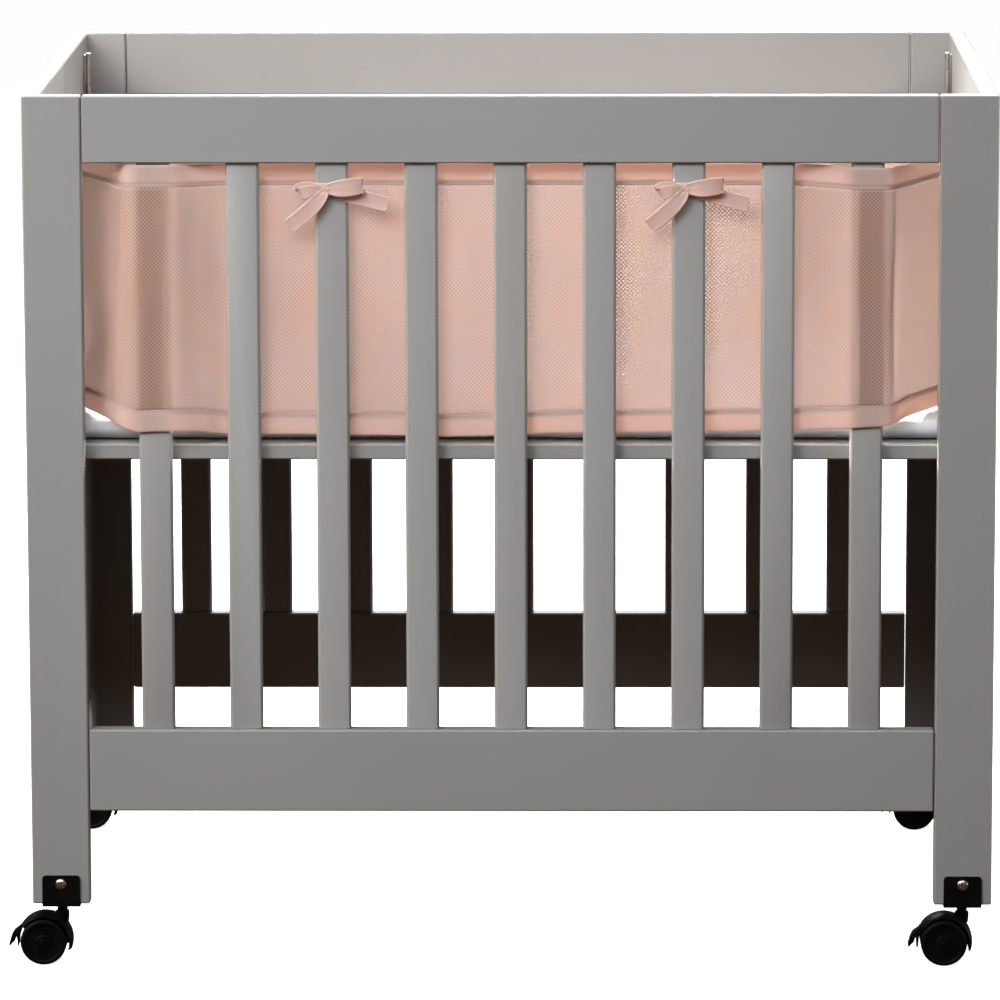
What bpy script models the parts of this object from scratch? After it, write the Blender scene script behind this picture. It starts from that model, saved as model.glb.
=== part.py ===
"""A mesh crib liner tied inside a plain folding crib, with the crib's pad, base and casters.

Lengths are in metres. +X is to the right, +Y to the back and +Z up, and the floor is at Z = 0.
Everything hangs from one empty, which puts the middle of the whole outline over the origin.
A depth is measured from the crib's front face towards the back.
"""

import math
from collections import namedtuple

import bmesh
import bpy
from mathutils import Matrix, Vector

# ---------------------------------------------------------------- driving dimensions: crib
CRIB_WIDTH = 0.998
CRIB_DEPTH = 0.668
CRIB_HEIGHT = 0.909
GAP = 0.0003  # between pieces that touch
SEAM = 0.0012  # open joint between a post and a rail
EASE = 0.0015  # width of the chamfer on painted boards

POST_WIDTH = 0.060
POST_FOOT = 0.064
POST_RETURN = 0.060
BOARD = 0.021  # thickness of post faces and rails
END_BOARD = 0.017
END_FOOT = 0.165
TOP_RAIL_FOOT = 0.840
BOTTOM_RAIL_FOOT = 0.163
BOTTOM_RAIL_HEAD = 0.249

SLATS = 9
SLAT_PITCH = 0.0914
SLAT_WIDTH = 0.034
SLAT_THICKNESS = 0.011
SLAT_RECESS = 0.005

BASE_FOOT = 0.530
BASE_HEAD = 0.546
BASE_INSET = 0.0215
PAD_LENGTH = 0.955
PAD_DEPTH = 0.606
PAD_HEAD = 0.571
PAD_CORNER = 0.025
PAD_EDGE = 0.008

HINGE_FOOT = 0.845
HINGE_HEIGHT = 0.046
HINGE_LEAF = 0.016
HINGE_SHEET = 0.0015
HINGE_BARREL = 0.0035

# ---------------------------------------------------------------- driving dimensions: casters
WHEEL_RADIUS = 0.0243
WHEEL_SIDES = 24
WHEEL_OUTER = 0.020  # half the width over both wheels
WHEEL_INNER = 0.0046  # half the gap between them
WHEEL_ROUND = 0.0022
AXLE_RADIUS = 0.0040
CASTER_TRAIL = 0.0190  # stem to axle, along X
CASTER_SET = 0.0125  # depth of the stem behind the post's face
HOOD_OVAL = 0.0016  # how much further the hood reaches at the stem's side than behind
HOOD_FROM, HOOD_TO = -18.0, 145.0  # degrees round the axle
HOOD_STEPS = 10
WEB_HALF = 0.0040
WEB_HUB = 0.0090
WEB_RIM = 0.0272
STEM_RADIUS = 0.0053
STEM_FROM = 0.019
LEVER_HALF = 0.0060
BRACKET_WIDTH = 0.0395
BRACKET_HEAD = 0.0945
BRACKET_FOOT = 0.0615
BRACKET_SHEET = 0.0020
BRACKET_REACH = 0.0300
BRACKET_CORNER = 0.0035
SCREW_RADIUS = 0.0062
SCREW_DOME = 0.0026
SCREW_HEIGHT = 0.0855

# ---------------------------------------------------------------- driving dimensions: liner
MESH_SHEET = 0.0015
BINDING_SHEET = 0.0024
TOP_BINDING = 0.0226
BOTTOM_BINDING = 0.0225
FINE_STEPS = 2  # sections from one stop to the next
BELLY_FROM, BELLY_TO = 0.085, 0.530  # the share of the liner's height that bellies
MESH_LEVELS = (0.0, 0.09, 0.18, 0.27, 0.36, 0.46, 1.0)  # shares of the mesh's own height

TAPE_SHEET = 0.0010
WRAP_HALF = 0.0065
WRAP_EASE = 0.0005  # between a slat and the tape round it
KNOT_HALF = (0.0037, 0.0036, 0.0052)
KNOT_ROUND = 0.0022
KNOT_STANDOFF = 0.0040  # knot centre to the slat's face
KNOT_HEIGHT = 0.8130
# A tie's name, its slat (counted from the left, from 0), and how far right of the knot that is.
TIED_SLATS = (("left", 2, 0.0067), ("right", 6, 0.0042))

# The liner's stops, in order round the crib: from the lap at the back to the left, along the left
# end, across the front, along the right end and back to the lap. x and depth place the middle of
# the cloth at its foot, foot and head are the heights of its edges, belly is how far the mesh
# swells towards the inside of the crib, and lean is how much further in the head stands.
Stop = namedtuple("Stop", "x depth foot head belly lean")
LINER = [
    Stop(0.0260, 0.6490, 0.5665, 0.8375, 0.0000, 0.0000),
    Stop(-0.0460, 0.6488, 0.5665, 0.8375, 0.0010, 0.0000),
    Stop(-0.1830, 0.6488, 0.5662, 0.8378, 0.0000, 0.0000),
    Stop(-0.3200, 0.6482, 0.5668, 0.8376, 0.0020, 0.0000),
    Stop(-0.3880, 0.6455, 0.5700, 0.8376, 0.0030, 0.0000),
    Stop(-0.4280, 0.6280, 0.5740, 0.8390, 0.0040, 0.0000),
    Stop(-0.4560, 0.5940, 0.5738, 0.8410, 0.0050, 0.0000),
    Stop(-0.4720, 0.5480, 0.5736, 0.8430, 0.0040, 0.0000),
    Stop(-0.4780, 0.4800, 0.5735, 0.8445, 0.0030, 0.0000),
    Stop(-0.4770, 0.3900, 0.5738, 0.8452, 0.0050, 0.0000),
    Stop(-0.4782, 0.3000, 0.5735, 0.8450, 0.0020, 0.0000),
    Stop(-0.4772, 0.2250, 0.5736, 0.8445, 0.0040, 0.0000),
    Stop(-0.4725, 0.1640, 0.5740, 0.8435, 0.0040, 0.0000),
    Stop(-0.4620, 0.1230, 0.5745, 0.8418, 0.0020, 0.0000),
    Stop(-0.4500, 0.0985, 0.5742, 0.8408, 0.0010, 0.0000),
    Stop(-0.4437, 0.0850, 0.5740, 0.8402, 0.0100, 0.0007),
    Stop(-0.4306, 0.0555, 0.5738, 0.8392, 0.0070, 0.0050),
    Stop(-0.4180, 0.0300, 0.5728, 0.8384, 0.0020, 0.0078),
    Stop(-0.4085, 0.0135, 0.5700, 0.8380, 0.0000, 0.0084),
    Stop(-0.3965, 0.0042, 0.5656, 0.8380, 0.0000, 0.0031),
    Stop(-0.3835, 0.0020, 0.5618, 0.8382, 0.0000, 0.0000),
    Stop(-0.3656, 0.0018, 0.5624, 0.8382, 0.0000, 0.0000),
    Stop(-0.3440, 0.0021, 0.5627, 0.8382, 0.0000, 0.0000),
    Stop(-0.3200, 0.0100, 0.5612, 0.8380, 0.0010, 0.0000),
    Stop(-0.2960, 0.0190, 0.5572, 0.8380, 0.0000, 0.0000),
    Stop(-0.2742, 0.0196, 0.5562, 0.8380, 0.0000, 0.0000),
    Stop(-0.2285, 0.0222, 0.5566, 0.8378, 0.0010, 0.0000),
    Stop(-0.1828, 0.0196, 0.5560, 0.8380, 0.0000, 0.0000),
    Stop(-0.1371, 0.0216, 0.5555, 0.8378, 0.0000, 0.0000),
    Stop(-0.0914, 0.0198, 0.5548, 0.8380, 0.0000, 0.0000),
    Stop(-0.0457, 0.0228, 0.5541, 0.8376, 0.0012, 0.0000),
    Stop(0.0000, 0.0196, 0.5560, 0.8380, 0.0000, 0.0000),
    Stop(0.0457, 0.0216, 0.5578, 0.8380, 0.0006, 0.0000),
    Stop(0.0914, 0.0198, 0.5582, 0.8380, 0.0000, 0.0000),
    Stop(0.1371, 0.0222, 0.5586, 0.8378, 0.0008, 0.0000),
    Stop(0.1828, 0.0196, 0.5590, 0.8380, 0.0000, 0.0000),
    Stop(0.2285, 0.0226, 0.5594, 0.8374, 0.0010, 0.0000),
    Stop(0.2742, 0.0196, 0.5604, 0.8378, 0.0000, 0.0000),
    Stop(0.2960, 0.0190, 0.5615, 0.8378, 0.0000, 0.0000),
    Stop(0.3200, 0.0100, 0.5638, 0.8376, 0.0010, 0.0000),
    Stop(0.3440, 0.0021, 0.5655, 0.8374, 0.0000, 0.0000),
    Stop(0.3656, 0.0018, 0.5668, 0.8372, 0.0000, 0.0000),
    Stop(0.3860, 0.0026, 0.5678, 0.8370, 0.0000, 0.0000),
    Stop(0.3965, 0.0110, 0.5705, 0.8368, 0.0000, 0.0000),
    Stop(0.4075, 0.0290, 0.5736, 0.8367, 0.0010, 0.0000),
    Stop(0.4240, 0.0600, 0.5740, 0.8367, 0.0030, 0.0000),
    Stop(0.4425, 0.0952, 0.5742, 0.8370, 0.0040, 0.0000),
    Stop(0.4585, 0.1320, 0.5742, 0.8385, 0.0040, 0.0000),
    Stop(0.4712, 0.1780, 0.5740, 0.8410, 0.0030, 0.0000),
    Stop(0.4774, 0.2450, 0.5736, 0.8432, 0.0040, 0.0000),
    Stop(0.4782, 0.3300, 0.5735, 0.8450, 0.0020, 0.0000),
    Stop(0.4770, 0.4200, 0.5738, 0.8452, 0.0050, 0.0000),
    Stop(0.4780, 0.4950, 0.5735, 0.8444, 0.0030, 0.0000),
    Stop(0.4720, 0.5520, 0.5736, 0.8430, 0.0040, 0.0000),
    Stop(0.4560, 0.5960, 0.5738, 0.8410, 0.0050, 0.0000),
    Stop(0.4280, 0.6285, 0.5740, 0.8390, 0.0040, 0.0000),
    Stop(0.3880, 0.6455, 0.5700, 0.8376, 0.0030, 0.0000),
    Stop(0.3200, 0.6480, 0.5668, 0.8376, 0.0020, 0.0000),
    Stop(0.1830, 0.6486, 0.5662, 0.8378, 0.0000, 0.0000),
    Stop(0.0600, 0.6480, 0.5665, 0.8376, 0.0000, 0.0000),
    Stop(0.0300, 0.6448, 0.5665, 0.8375, 0.0000, 0.0000),
    Stop(-0.0260, 0.6445, 0.5665, 0.8375, 0.0000, 0.0000),
]

# A tape's stations: the middle of the tape, half its width there, and how far its width leans from
# upright, in degrees. The knot's middle is the origin, and +y is towards the slat.
Station = namedtuple("Station", "x y z half lean")
LEFT_LOOP = [
    Station(0.0010, -0.0014, 0.0000, 0.0034, 0),
    Station(-0.0060, -0.0032, 0.0004, 0.0046, -6),
    Station(-0.0140, -0.0052, 0.0004, 0.0062, -18),
    Station(-0.0220, -0.0050, -0.0014, 0.0070, -30),
    Station(-0.0262, -0.0026, -0.0030, 0.0072, -37),
    Station(-0.0256, -0.0002, -0.0030, 0.0072, -37),
    Station(-0.0190, 0.0006, -0.0010, 0.0068, -24),
    Station(-0.0100, 0.0010, 0.0004, 0.0050, -10),
    Station(0.0010, 0.0010, 0.0000, 0.0034, 0),
]
RIGHT_LOOP = [
    Station(-0.0010, -0.0014, 0.0002, 0.0034, 0),
    Station(0.0070, -0.0034, 0.0014, 0.0048, -4),
    Station(0.0170, -0.0058, 0.0036, 0.0066, -6),
    Station(0.0290, -0.0060, 0.0056, 0.0072, -2),
    Station(0.0376, -0.0040, 0.0062, 0.0072, 2),
    Station(0.0382, -0.0014, 0.0060, 0.0072, 2),
    Station(0.0300, -0.0004, 0.0050, 0.0070, 0),
    Station(0.0160, 0.0004, 0.0020, 0.0056, 0),
    Station(-0.0010, 0.0010, 0.0000, 0.0034, 0),
]
LEFT_TAIL = [
    Station(0.0010, -0.0026, -0.0010, 0.0036, 70),
    Station(-0.0040, -0.0046, -0.0080, 0.0056, 112),
    Station(-0.0120, -0.0050, -0.0168, 0.0070, 132),
    Station(-0.0240, -0.0038, -0.0278, 0.0075, 138),
    Station(-0.0362, -0.0012, -0.0379, 0.0077, 138),
]
RIGHT_TAIL = [
    Station(-0.0010, 0.0028, -0.0012, 0.0034, 4),
    Station(0.0120, 0.0030, -0.0032, 0.0056, 8),
    Station(0.0260, 0.0030, -0.0068, 0.0070, 12),
    Station(0.0450, 0.0024, -0.0110, 0.0073, 16),
    Station(0.0648, 0.0006, -0.0155, 0.0073, 19),
]

# The hood's section across the caster: distance from the axle, and from the caster's middle.
HOOD_SECTION = [
    (0.0257, -0.0172),
    (0.0276, -0.0125),
    (0.0285, -0.0050),
    (0.0285, 0.0050),
    (0.0276, 0.0125),
    (0.0257, 0.0172),
    (0.0250, 0.0168),
    (0.0256, 0.0100),
    (0.0256, -0.0100),
    (0.0250, -0.0168),
]

# The brake lever's outline beside the wheel, from the hood out to its tips and back.
LEVER = [
    (-0.0215, 0.0185),
    (-0.0264, 0.0132),
    (-0.0318, 0.0092),
    (-0.0346, 0.0038),
    (-0.0371, -0.0052),
    (-0.0363, -0.0070),
    (-0.0306, -0.0010),
    (-0.0292, 0.0040),
    (-0.0284, 0.0000),
    (-0.0279, -0.0086),
    (-0.0262, -0.0052),
    (-0.0256, 0.0030),
    (-0.0240, 0.0085),
]

BOW = (LEFT_LOOP, RIGHT_LOOP, LEFT_TAIL, RIGHT_TAIL)
FRONT = -CRIB_DEPTH / 2
LEVER_TIP = CRIB_WIDTH / 2 - POST_WIDTH / 2 + CASTER_TRAIL - min(x for x, z in LEVER)
CENTRE_SHIFT = (LEVER_TIP - CRIB_WIDTH / 2) / 2
WHEEL_CENTRE = WHEEL_RADIUS * math.cos(math.pi / WHEEL_SIDES)

PAINTS = {
    # name: sRGB colour, roughness, metallic
    "grey_paint": ("#93938F", 0.45, 0.0),
    "hinge_metal": ("#A9A9A6", 0.35, 1.0),
    "black_metal": ("#141414", 0.50, 0.0),
    "black_plastic": ("#121213", 0.45, 0.0),
    "nickel": ("#C9C4BC", 0.25, 1.0),
    "white_sheet": ("#DDE2E8", 0.90, 0.0),
    "mesh_cloth": ("#CBA295", 0.90, 0.0),
    "binding_cloth": ("#C9927C", 0.85, 0.0),
    "tape_cloth": ("#C99A86", 0.80, 0.0),
}


# ---------------------------------------------------------------- helpers
def clear_scene():
    for item in list(bpy.data.objects):
        bpy.data.objects.remove(item)


def linear(code):
    """The linear colour of an sRGB hex code."""
    shares = [int(code[i : i + 2], 16) / 255 for i in (1, 3, 5)]
    return [s / 12.92 if s <= 0.04045 else ((s + 0.055) / 1.055) ** 2.4 for s in shares] + [1.0]


def paint(finish, name):
    """A Principled material for one piece."""
    code, roughness, metallic = PAINTS[finish]
    made = bpy.data.materials.new(name)
    made.use_nodes = True
    shader = made.node_tree.nodes["Principled BSDF"]
    shader.inputs["Base Color"].default_value = linear(code)
    shader.inputs["Roughness"].default_value = roughness
    shader.inputs["Metallic"].default_value = metallic
    return made


def add(name, mesh, finish=None, parent=None):
    """An object for a mesh, with its own material when it is a piece of the model."""
    made = bpy.data.objects.new(name, mesh)
    bpy.context.scene.collection.objects.link(made)
    made.parent = parent
    if finish:
        if not mesh.materials:
            mesh.materials.append(None)
        made.material_slots[0].link = "OBJECT"
        made.material_slots[0].material = paint(finish, name)
    return made


def mesh_of(shape, name, smooth=False):
    bmesh.ops.recalc_face_normals(shape, faces=shape.faces)
    made = bpy.data.meshes.new(name)
    shape.to_mesh(made)
    shape.free()
    if smooth:
        made.shade_smooth()
        made.set_sharp_from_angle(angle=math.radians(35))
    return made


def bevel(shape, edges, width, segments=1):
    bmesh.ops.bevel(
        shape,
        geom=edges,
        offset=width,
        offset_type="OFFSET",
        affect="EDGES",
        segments=segments,
        profile=0.5,
        material=-1,
    )


def box(low, high):
    """A box between two corners."""
    shape = bmesh.new()
    low, high = Vector(low), Vector(high)
    place = Matrix.Translation((low + high) / 2) @ Matrix.Diagonal((*(high - low), 1.0))
    bmesh.ops.create_cube(shape, size=1.0, matrix=place)
    return shape


def prism(outline, rise):
    """An outline, counted round once, pushed along one vector."""
    shape = bmesh.new()
    face = shape.faces.new([shape.verts.new(point) for point in outline])
    pushed = bmesh.ops.extrude_face_region(shape, geom=[face])
    moved = [item for item in pushed["geom"] if isinstance(item, bmesh.types.BMVert)]
    bmesh.ops.translate(shape, verts=moved, vec=rise)
    return shape


def loft(rings):
    """A closed body through rings that have the same number of points."""
    shape = bmesh.new()
    loops = [[shape.verts.new(point) for point in ring] for ring in rings]
    for near, far in zip(loops, loops[1:]):
        for i in range(len(near)):
            after = (i + 1) % len(near)
            shape.faces.new((near[i], near[after], far[after], far[i]))
    shape.faces.new(loops[0])
    shape.faces.new(loops[-1])
    return shape


def turned(profile, sides, axis):
    """A closed body turned from a profile of (radius, height along Z) points, laid on an axis."""
    shape = bmesh.new()
    rim = [shape.verts.new((radius, 0.0, height)) for radius, height in profile]
    edges = [shape.edges.new(pair) for pair in zip(rim, rim[1:])]
    turn = Matrix.Rotation(math.pi / sides, 3, "Z")
    bmesh.ops.rotate(shape, verts=rim, cent=(0, 0, 0), matrix=turn)
    bmesh.ops.spin(
        shape,
        geom=rim + edges,
        cent=(0, 0, 0),
        axis=(0, 0, 1),
        angle=math.tau,
        steps=sides,
        use_merge=True,
    )
    bmesh.ops.remove_doubles(shape, verts=shape.verts, dist=1e-6)
    if axis == "Y":
        lay = Matrix.Rotation(math.pi / 2, 3, "X")
        bmesh.ops.rotate(shape, verts=shape.verts, cent=(0, 0, 0), matrix=lay)
    return shape


def fused(name, shapes, cut=()):
    """One mesh from overlapping bodies, less the bodies in cut."""
    base = add(name, mesh_of(shapes[0], name))
    helpers = []
    for kind, group in (("UNION", shapes[1:]), ("DIFFERENCE", cut)):
        for shape in group:
            helper = add(name + "_helper", mesh_of(shape, name + "_helper"))
            step = base.modifiers.new(kind.lower(), "BOOLEAN")
            step.operation = kind
            step.solver = "EXACT"
            step.object = helper
            helpers.append(helper)
    graph = bpy.context.evaluated_depsgraph_get()
    made = bpy.data.meshes.new_from_object(base.evaluated_get(graph))
    for item in [base] + helpers:
        bpy.data.objects.remove(item)
    shape = bmesh.new()
    shape.from_mesh(made)
    bmesh.ops.dissolve_degenerate(shape, edges=shape.edges, dist=1e-6)
    bmesh.ops.triangulate(shape, faces=shape.faces)
    made.materials.clear()
    return mesh_of(shape, name, smooth=True)


# ---------------------------------------------------------------- crib
def board(name, low, high, finish, crib, ease=EASE):
    shape = box(low, high)
    bevel(shape, shape.edges[:], ease)
    return add(name, mesh_of(shape, name), finish, crib)


def post(name, side, end, crib):
    """A corner post, L-shaped in plan. side is -1 on the left, and end is -1 at the front."""
    half_x, half_y = CRIB_WIDTH / 2, CRIB_DEPTH / 2
    plan = [
        (0, 0),
        (POST_WIDTH, 0),
        (POST_WIDTH, BOARD),
        (END_BOARD, BOARD),
        (END_BOARD, POST_RETURN),
        (0, POST_RETURN),
    ]
    outline = [(side * (half_x - u), end * (half_y - v), POST_FOOT) for u, v in plan]
    shape = prism(outline, (0, 0, CRIB_HEIGHT - POST_FOOT))
    bevel(shape, shape.edges[:], EASE)
    return add(name, mesh_of(shape, name), "grey_paint", crib)


def long_side(word, end, crib):
    """The two rails and the slats of the front or the back."""
    reach = CRIB_WIDTH / 2 - POST_WIDTH - SEAM

    def spread(near, far):
        return sorted((end * (CRIB_DEPTH / 2 - near), end * (CRIB_DEPTH / 2 - far)))

    low_y, high_y = spread(0, BOARD)
    rails = (
        ("top_rail_", TOP_RAIL_FOOT, CRIB_HEIGHT),
        ("bottom_rail_", BOTTOM_RAIL_FOOT, BOTTOM_RAIL_HEAD),
    )
    for start, foot, head in rails:
        board(start + word, (-reach, low_y, foot), (reach, high_y, head), "grey_paint", crib)
    low_y, high_y = spread(SLAT_RECESS, SLAT_RECESS + SLAT_THICKNESS)
    foot, head = BOTTOM_RAIL_HEAD + GAP, TOP_RAIL_FOOT - GAP
    for number in range(SLATS):
        middle = slat_x(number)
        low = (middle - SLAT_WIDTH / 2, low_y, foot)
        high = (middle + SLAT_WIDTH / 2, high_y, head)
        board(f"slat_{word}_{number + 1}", low, high, "grey_paint", crib)


def slat_x(number):
    return (number - (SLATS - 1) / 2) * SLAT_PITCH


def end_side(word, side, crib):
    """The two boards of one end, and its two hinges on the inner face."""
    outer = side * CRIB_WIDTH / 2
    inner = side * (CRIB_WIDTH / 2 - END_BOARD)
    low_x, high_x = sorted((outer, inner))
    for part, end in (("front", -1), ("back", 1)):
        near = end * SEAM / 2
        far = end * (CRIB_DEPTH / 2 - POST_RETURN - GAP)
        low_y, high_y = sorted((near, far))
        low = (low_x, low_y, END_FOOT)
        board(f"end_{word}_{part}", low, (high_x, high_y, CRIB_HEIGHT), "grey_paint", crib)
        line = end * (CRIB_DEPTH / 2 - POST_RETURN)
        hinge(f"hinge_{word}_{part}", inner, line, side, crib)


def hinge(name, face, line, side, crib):
    """A butt hinge on the inner face of an end, over the seam with its post."""
    middle = face - side * (GAP + HINGE_BARREL)
    barrel = [
        (0, HINGE_FOOT),
        (HINGE_BARREL, HINGE_FOOT),
        (HINGE_BARREL, HINGE_FOOT + HINGE_HEIGHT),
        (0, HINGE_FOOT + HINGE_HEIGHT),
    ]
    pin = turned(barrel, 10, "Z")
    bmesh.ops.translate(pin, verts=pin.verts, vec=(middle, line, 0))
    near, far = sorted((face - side * GAP, face - side * (GAP + HINGE_SHEET)))
    inset = 0.001
    leaf = box(
        (near, line - HINGE_LEAF, HINGE_FOOT + inset),
        (far, line + HINGE_LEAF, HINGE_FOOT + HINGE_HEIGHT - inset),
    )
    add(name, fused(name, [pin, leaf]), "hinge_metal", crib)


def bed(crib):
    """The base board, and the pad in its sheet."""
    half_x = CRIB_WIDTH / 2 - END_BOARD - GAP
    half_y = CRIB_DEPTH / 2 - BASE_INSET
    low, high = (-half_x, -half_y, BASE_FOOT), (half_x, half_y, BASE_HEAD)
    board("base_board", low, high, "grey_paint", crib)
    half_x, half_y = PAD_LENGTH / 2, PAD_DEPTH / 2
    shape = box((-half_x, -half_y, BASE_HEAD + GAP), (half_x, half_y, PAD_HEAD))
    upright = [e for e in shape.edges if abs(e.verts[0].co.z - e.verts[1].co.z) > PAD_EDGE]
    bevel(shape, upright, PAD_CORNER, 4)
    level = [e for e in shape.edges if abs(e.verts[0].co.z - e.verts[1].co.z) < PAD_EDGE]
    bevel(shape, level, PAD_EDGE, 3)
    add("pad", mesh_of(shape, "pad", smooth=True), "white_sheet", crib)


# ---------------------------------------------------------------- casters
def caster_body():
    """Hood, web, stem and brake lever about the axle, with the axle's hole."""
    sweep = [
        math.radians(HOOD_FROM + (HOOD_TO - HOOD_FROM) * i / HOOD_STEPS)
        for i in range(HOOD_STEPS + 1)
    ]

    def arc(radius, angles, y):
        return [(radius * math.cos(a), y, radius * math.sin(a)) for a in angles]

    rings = []
    for a in sweep:
        out = HOOD_OVAL * (1 + math.cos(a)) / 2
        rings.append([arc(radius + out, [a], y)[0] for radius, y in HOOD_SECTION])
    hood = loft(rings)
    under = [math.radians(HOOD_TO + (360 + HOOD_FROM - HOOD_TO) * i / 5) for i in range(6)]
    rim = arc(WEB_RIM, sweep[1:-1], -WEB_HALF) + arc(WEB_HUB, under, -WEB_HALF)
    web = prism(rim, (0, 2 * WEB_HALF, 0))
    lever = prism([(x, -LEVER_HALF, z) for x, z in LEVER], (0, 2 * LEVER_HALF, 0))
    top = BRACKET_FOOT - GAP - WHEEL_CENTRE
    stem = turned([(0, STEM_FROM), (STEM_RADIUS, STEM_FROM), (STEM_RADIUS, top), (0, top)], 12, "Z")
    bmesh.ops.translate(stem, verts=stem.verts, vec=(CASTER_TRAIL, 0, 0))
    hole_radius = AXLE_RADIUS + GAP
    reach = 2 * WEB_HALF
    hole = turned([(0, -reach), (hole_radius, -reach), (hole_radius, reach), (0, reach)], 16, "Y")
    return fused("caster_body", [hood, web, lever, stem], cut=[hole])


def wheel_pair():
    """Both wheels and their axle, turned as one. A flat side of the polygon lies on the floor."""
    edge = WHEEL_RADIUS - WHEEL_ROUND
    half = [
        (0, WHEEL_OUTER),
        (edge, WHEEL_OUTER),
        (WHEEL_RADIUS, WHEEL_OUTER - WHEEL_ROUND),
        (WHEEL_RADIUS, WHEEL_INNER + WHEEL_ROUND / 2),
        (WHEEL_RADIUS - WHEEL_ROUND / 2, WHEEL_INNER),
        (AXLE_RADIUS, WHEEL_INNER),
    ]
    profile = half + [(radius, -along) for radius, along in half[::-1]]
    return mesh_of(turned(profile, WHEEL_SIDES, "Y"), "wheel_pair", smooth=True)


def bracket_mesh():
    """The bent plate on a post's foot. Its origin is under the post, below the post's face."""
    front, lower = -GAP - BRACKET_SHEET, BRACKET_FOOT
    half = BRACKET_WIDTH / 2
    section = [
        (front, lower),
        (BRACKET_REACH, lower),
        (BRACKET_REACH, lower + BRACKET_SHEET),
        (-GAP, lower + BRACKET_SHEET),
        (-GAP, BRACKET_HEAD),
        (front, BRACKET_HEAD),
    ]
    shape = prism([(-half, y, z) for y, z in section], (BRACKET_WIDTH, 0, 0))
    head = BRACKET_HEAD - BRACKET_SHEET
    corners = [
        e
        for e in shape.edges
        if min(v.co.z for v in e.verts) > head
        and abs(e.verts[0].co.y - e.verts[1].co.y) > GAP
        and abs(e.verts[0].co.x - e.verts[1].co.x) < GAP
    ]
    bevel(shape, corners, BRACKET_CORNER, 3)
    return mesh_of(shape, "bracket")


def screw_mesh():
    """A domed screw head that stands on the bracket, facing -Y."""
    face = GAP * 2 + BRACKET_SHEET
    dome = [(0, face)]
    for degrees in (0, 30, 60, 90):
        a = math.radians(degrees)
        dome.append((SCREW_RADIUS * math.cos(a), face + SCREW_DOME * math.sin(a)))
    dome[-1] = (0, face + SCREW_DOME)
    return mesh_of(turned(dome, 14, "Y"), "screw", smooth=True)


def casters(crib):
    """Four casters on the posts' feet, all trailing to the left."""
    parts = {
        "caster_bracket": (bracket_mesh(), "black_metal"),
        "caster_screw": (screw_mesh(), "nickel"),
        "caster_body": (caster_body(), "black_plastic"),
        "caster_wheels": (wheel_pair(), "black_plastic"),
    }
    for word, end in (("front", -1), ("back", 1)):
        for hand, side in (("left", -1), ("right", 1)):
            stem_x = side * (CRIB_WIDTH / 2 - POST_WIDTH / 2)
            face_y = end * CRIB_DEPTH / 2
            stem_y = end * (CRIB_DEPTH / 2 - CASTER_SET)
            for part, (mesh, finish) in parts.items():
                made = add(f"{part}_{word}_{hand}", mesh, finish, crib)
                if part in ("caster_bracket", "caster_screw"):
                    height = SCREW_HEIGHT if part == "caster_screw" else 0
                    made.location = (stem_x, face_y, height)
                    made.rotation_euler.z = 0 if end < 0 else math.pi
                else:
                    made.location = (stem_x - CASTER_TRAIL, stem_y, WHEEL_CENTRE)


# ---------------------------------------------------------------- liner
def between(a, b, c, d, share):
    """The value at a share of the way from b to c, on a smooth curve through all four."""
    return 0.5 * (
        2 * b
        + (c - a) * share
        + (2 * a - 5 * b + 4 * c - d) * share**2
        + (3 * b - a - 3 * c + d) * share**3
    )


def liner_sections():
    """The stops with the sections between them, each with the inward direction in plan."""
    ends = [LINER[0]] + LINER + [LINER[-1]]
    rows = []
    for i in range(len(LINER) - 1):
        four = ends[i : i + 4]
        for step in range(FINE_STEPS):
            rows.append(Stop(*(between(*values, step / FINE_STEPS) for values in zip(*four))))
    rows.append(LINER[-1])
    sections = []
    for i, row in enumerate(rows):
        before, after = rows[max(i - 1, 0)], rows[min(i + 1, len(rows) - 1)]
        along = Vector((after.x - before.x, after.depth - before.depth, 0)).normalized()
        sections.append((row, Vector((-along.y, along.x, 0))))
    return sections


def swell(share):
    """How much of its belly the cloth has at a share of its height."""
    if not BELLY_FROM < share < BELLY_TO:
        return 0.0
    return math.sin(math.pi * (share - BELLY_FROM) / (BELLY_TO - BELLY_FROM)) ** 2


def sheet(name, finish, crib, thickness, rows):
    """A piece of cloth through rows of points, given its thickness about its middle."""
    shape = bmesh.new()
    grid = [[shape.verts.new(point) for point in row] for row in rows]
    for left, right in zip(grid, grid[1:]):
        for low in range(len(left) - 1):
            shape.faces.new((left[low], right[low], right[low + 1], left[low + 1]))
    made = add(name, mesh_of(shape, name, smooth=True), finish, crib)
    body = made.modifiers.new("thickness", "SOLIDIFY")
    body.thickness = thickness
    body.offset = 0
    body.use_even_offset = True
    return made


def cloth_point(row, inward, height):
    """A section's point at one height, with its lean and its belly."""
    share = (height - row.foot) / (row.head - row.foot)
    out = row.lean * share + row.belly * swell(share)
    return Vector((row.x, FRONT + row.depth, height)) + inward * out


def liner(crib):
    """The mesh, with a binding edge to edge with it along its foot and its head."""
    net, top, bottom = [], [], []
    for row, inward in liner_sections():
        low = row.foot + BOTTOM_BINDING
        high = row.head - TOP_BINDING
        rise = high - low - 2 * GAP
        heights = [low + GAP + rise * share for share in MESH_LEVELS]
        net.append([cloth_point(row, inward, height) for height in heights])
        top.append([cloth_point(row, inward, height) for height in (high, row.head)])
        bottom.append([cloth_point(row, inward, height) for height in (row.foot, low)])
    sheet("liner_mesh", "mesh_cloth", crib, MESH_SHEET, net)
    sheet("liner_top_binding", "binding_cloth", crib, BINDING_SHEET, top)
    sheet("liner_bottom_binding", "binding_cloth", crib, BINDING_SHEET, bottom)


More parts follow.
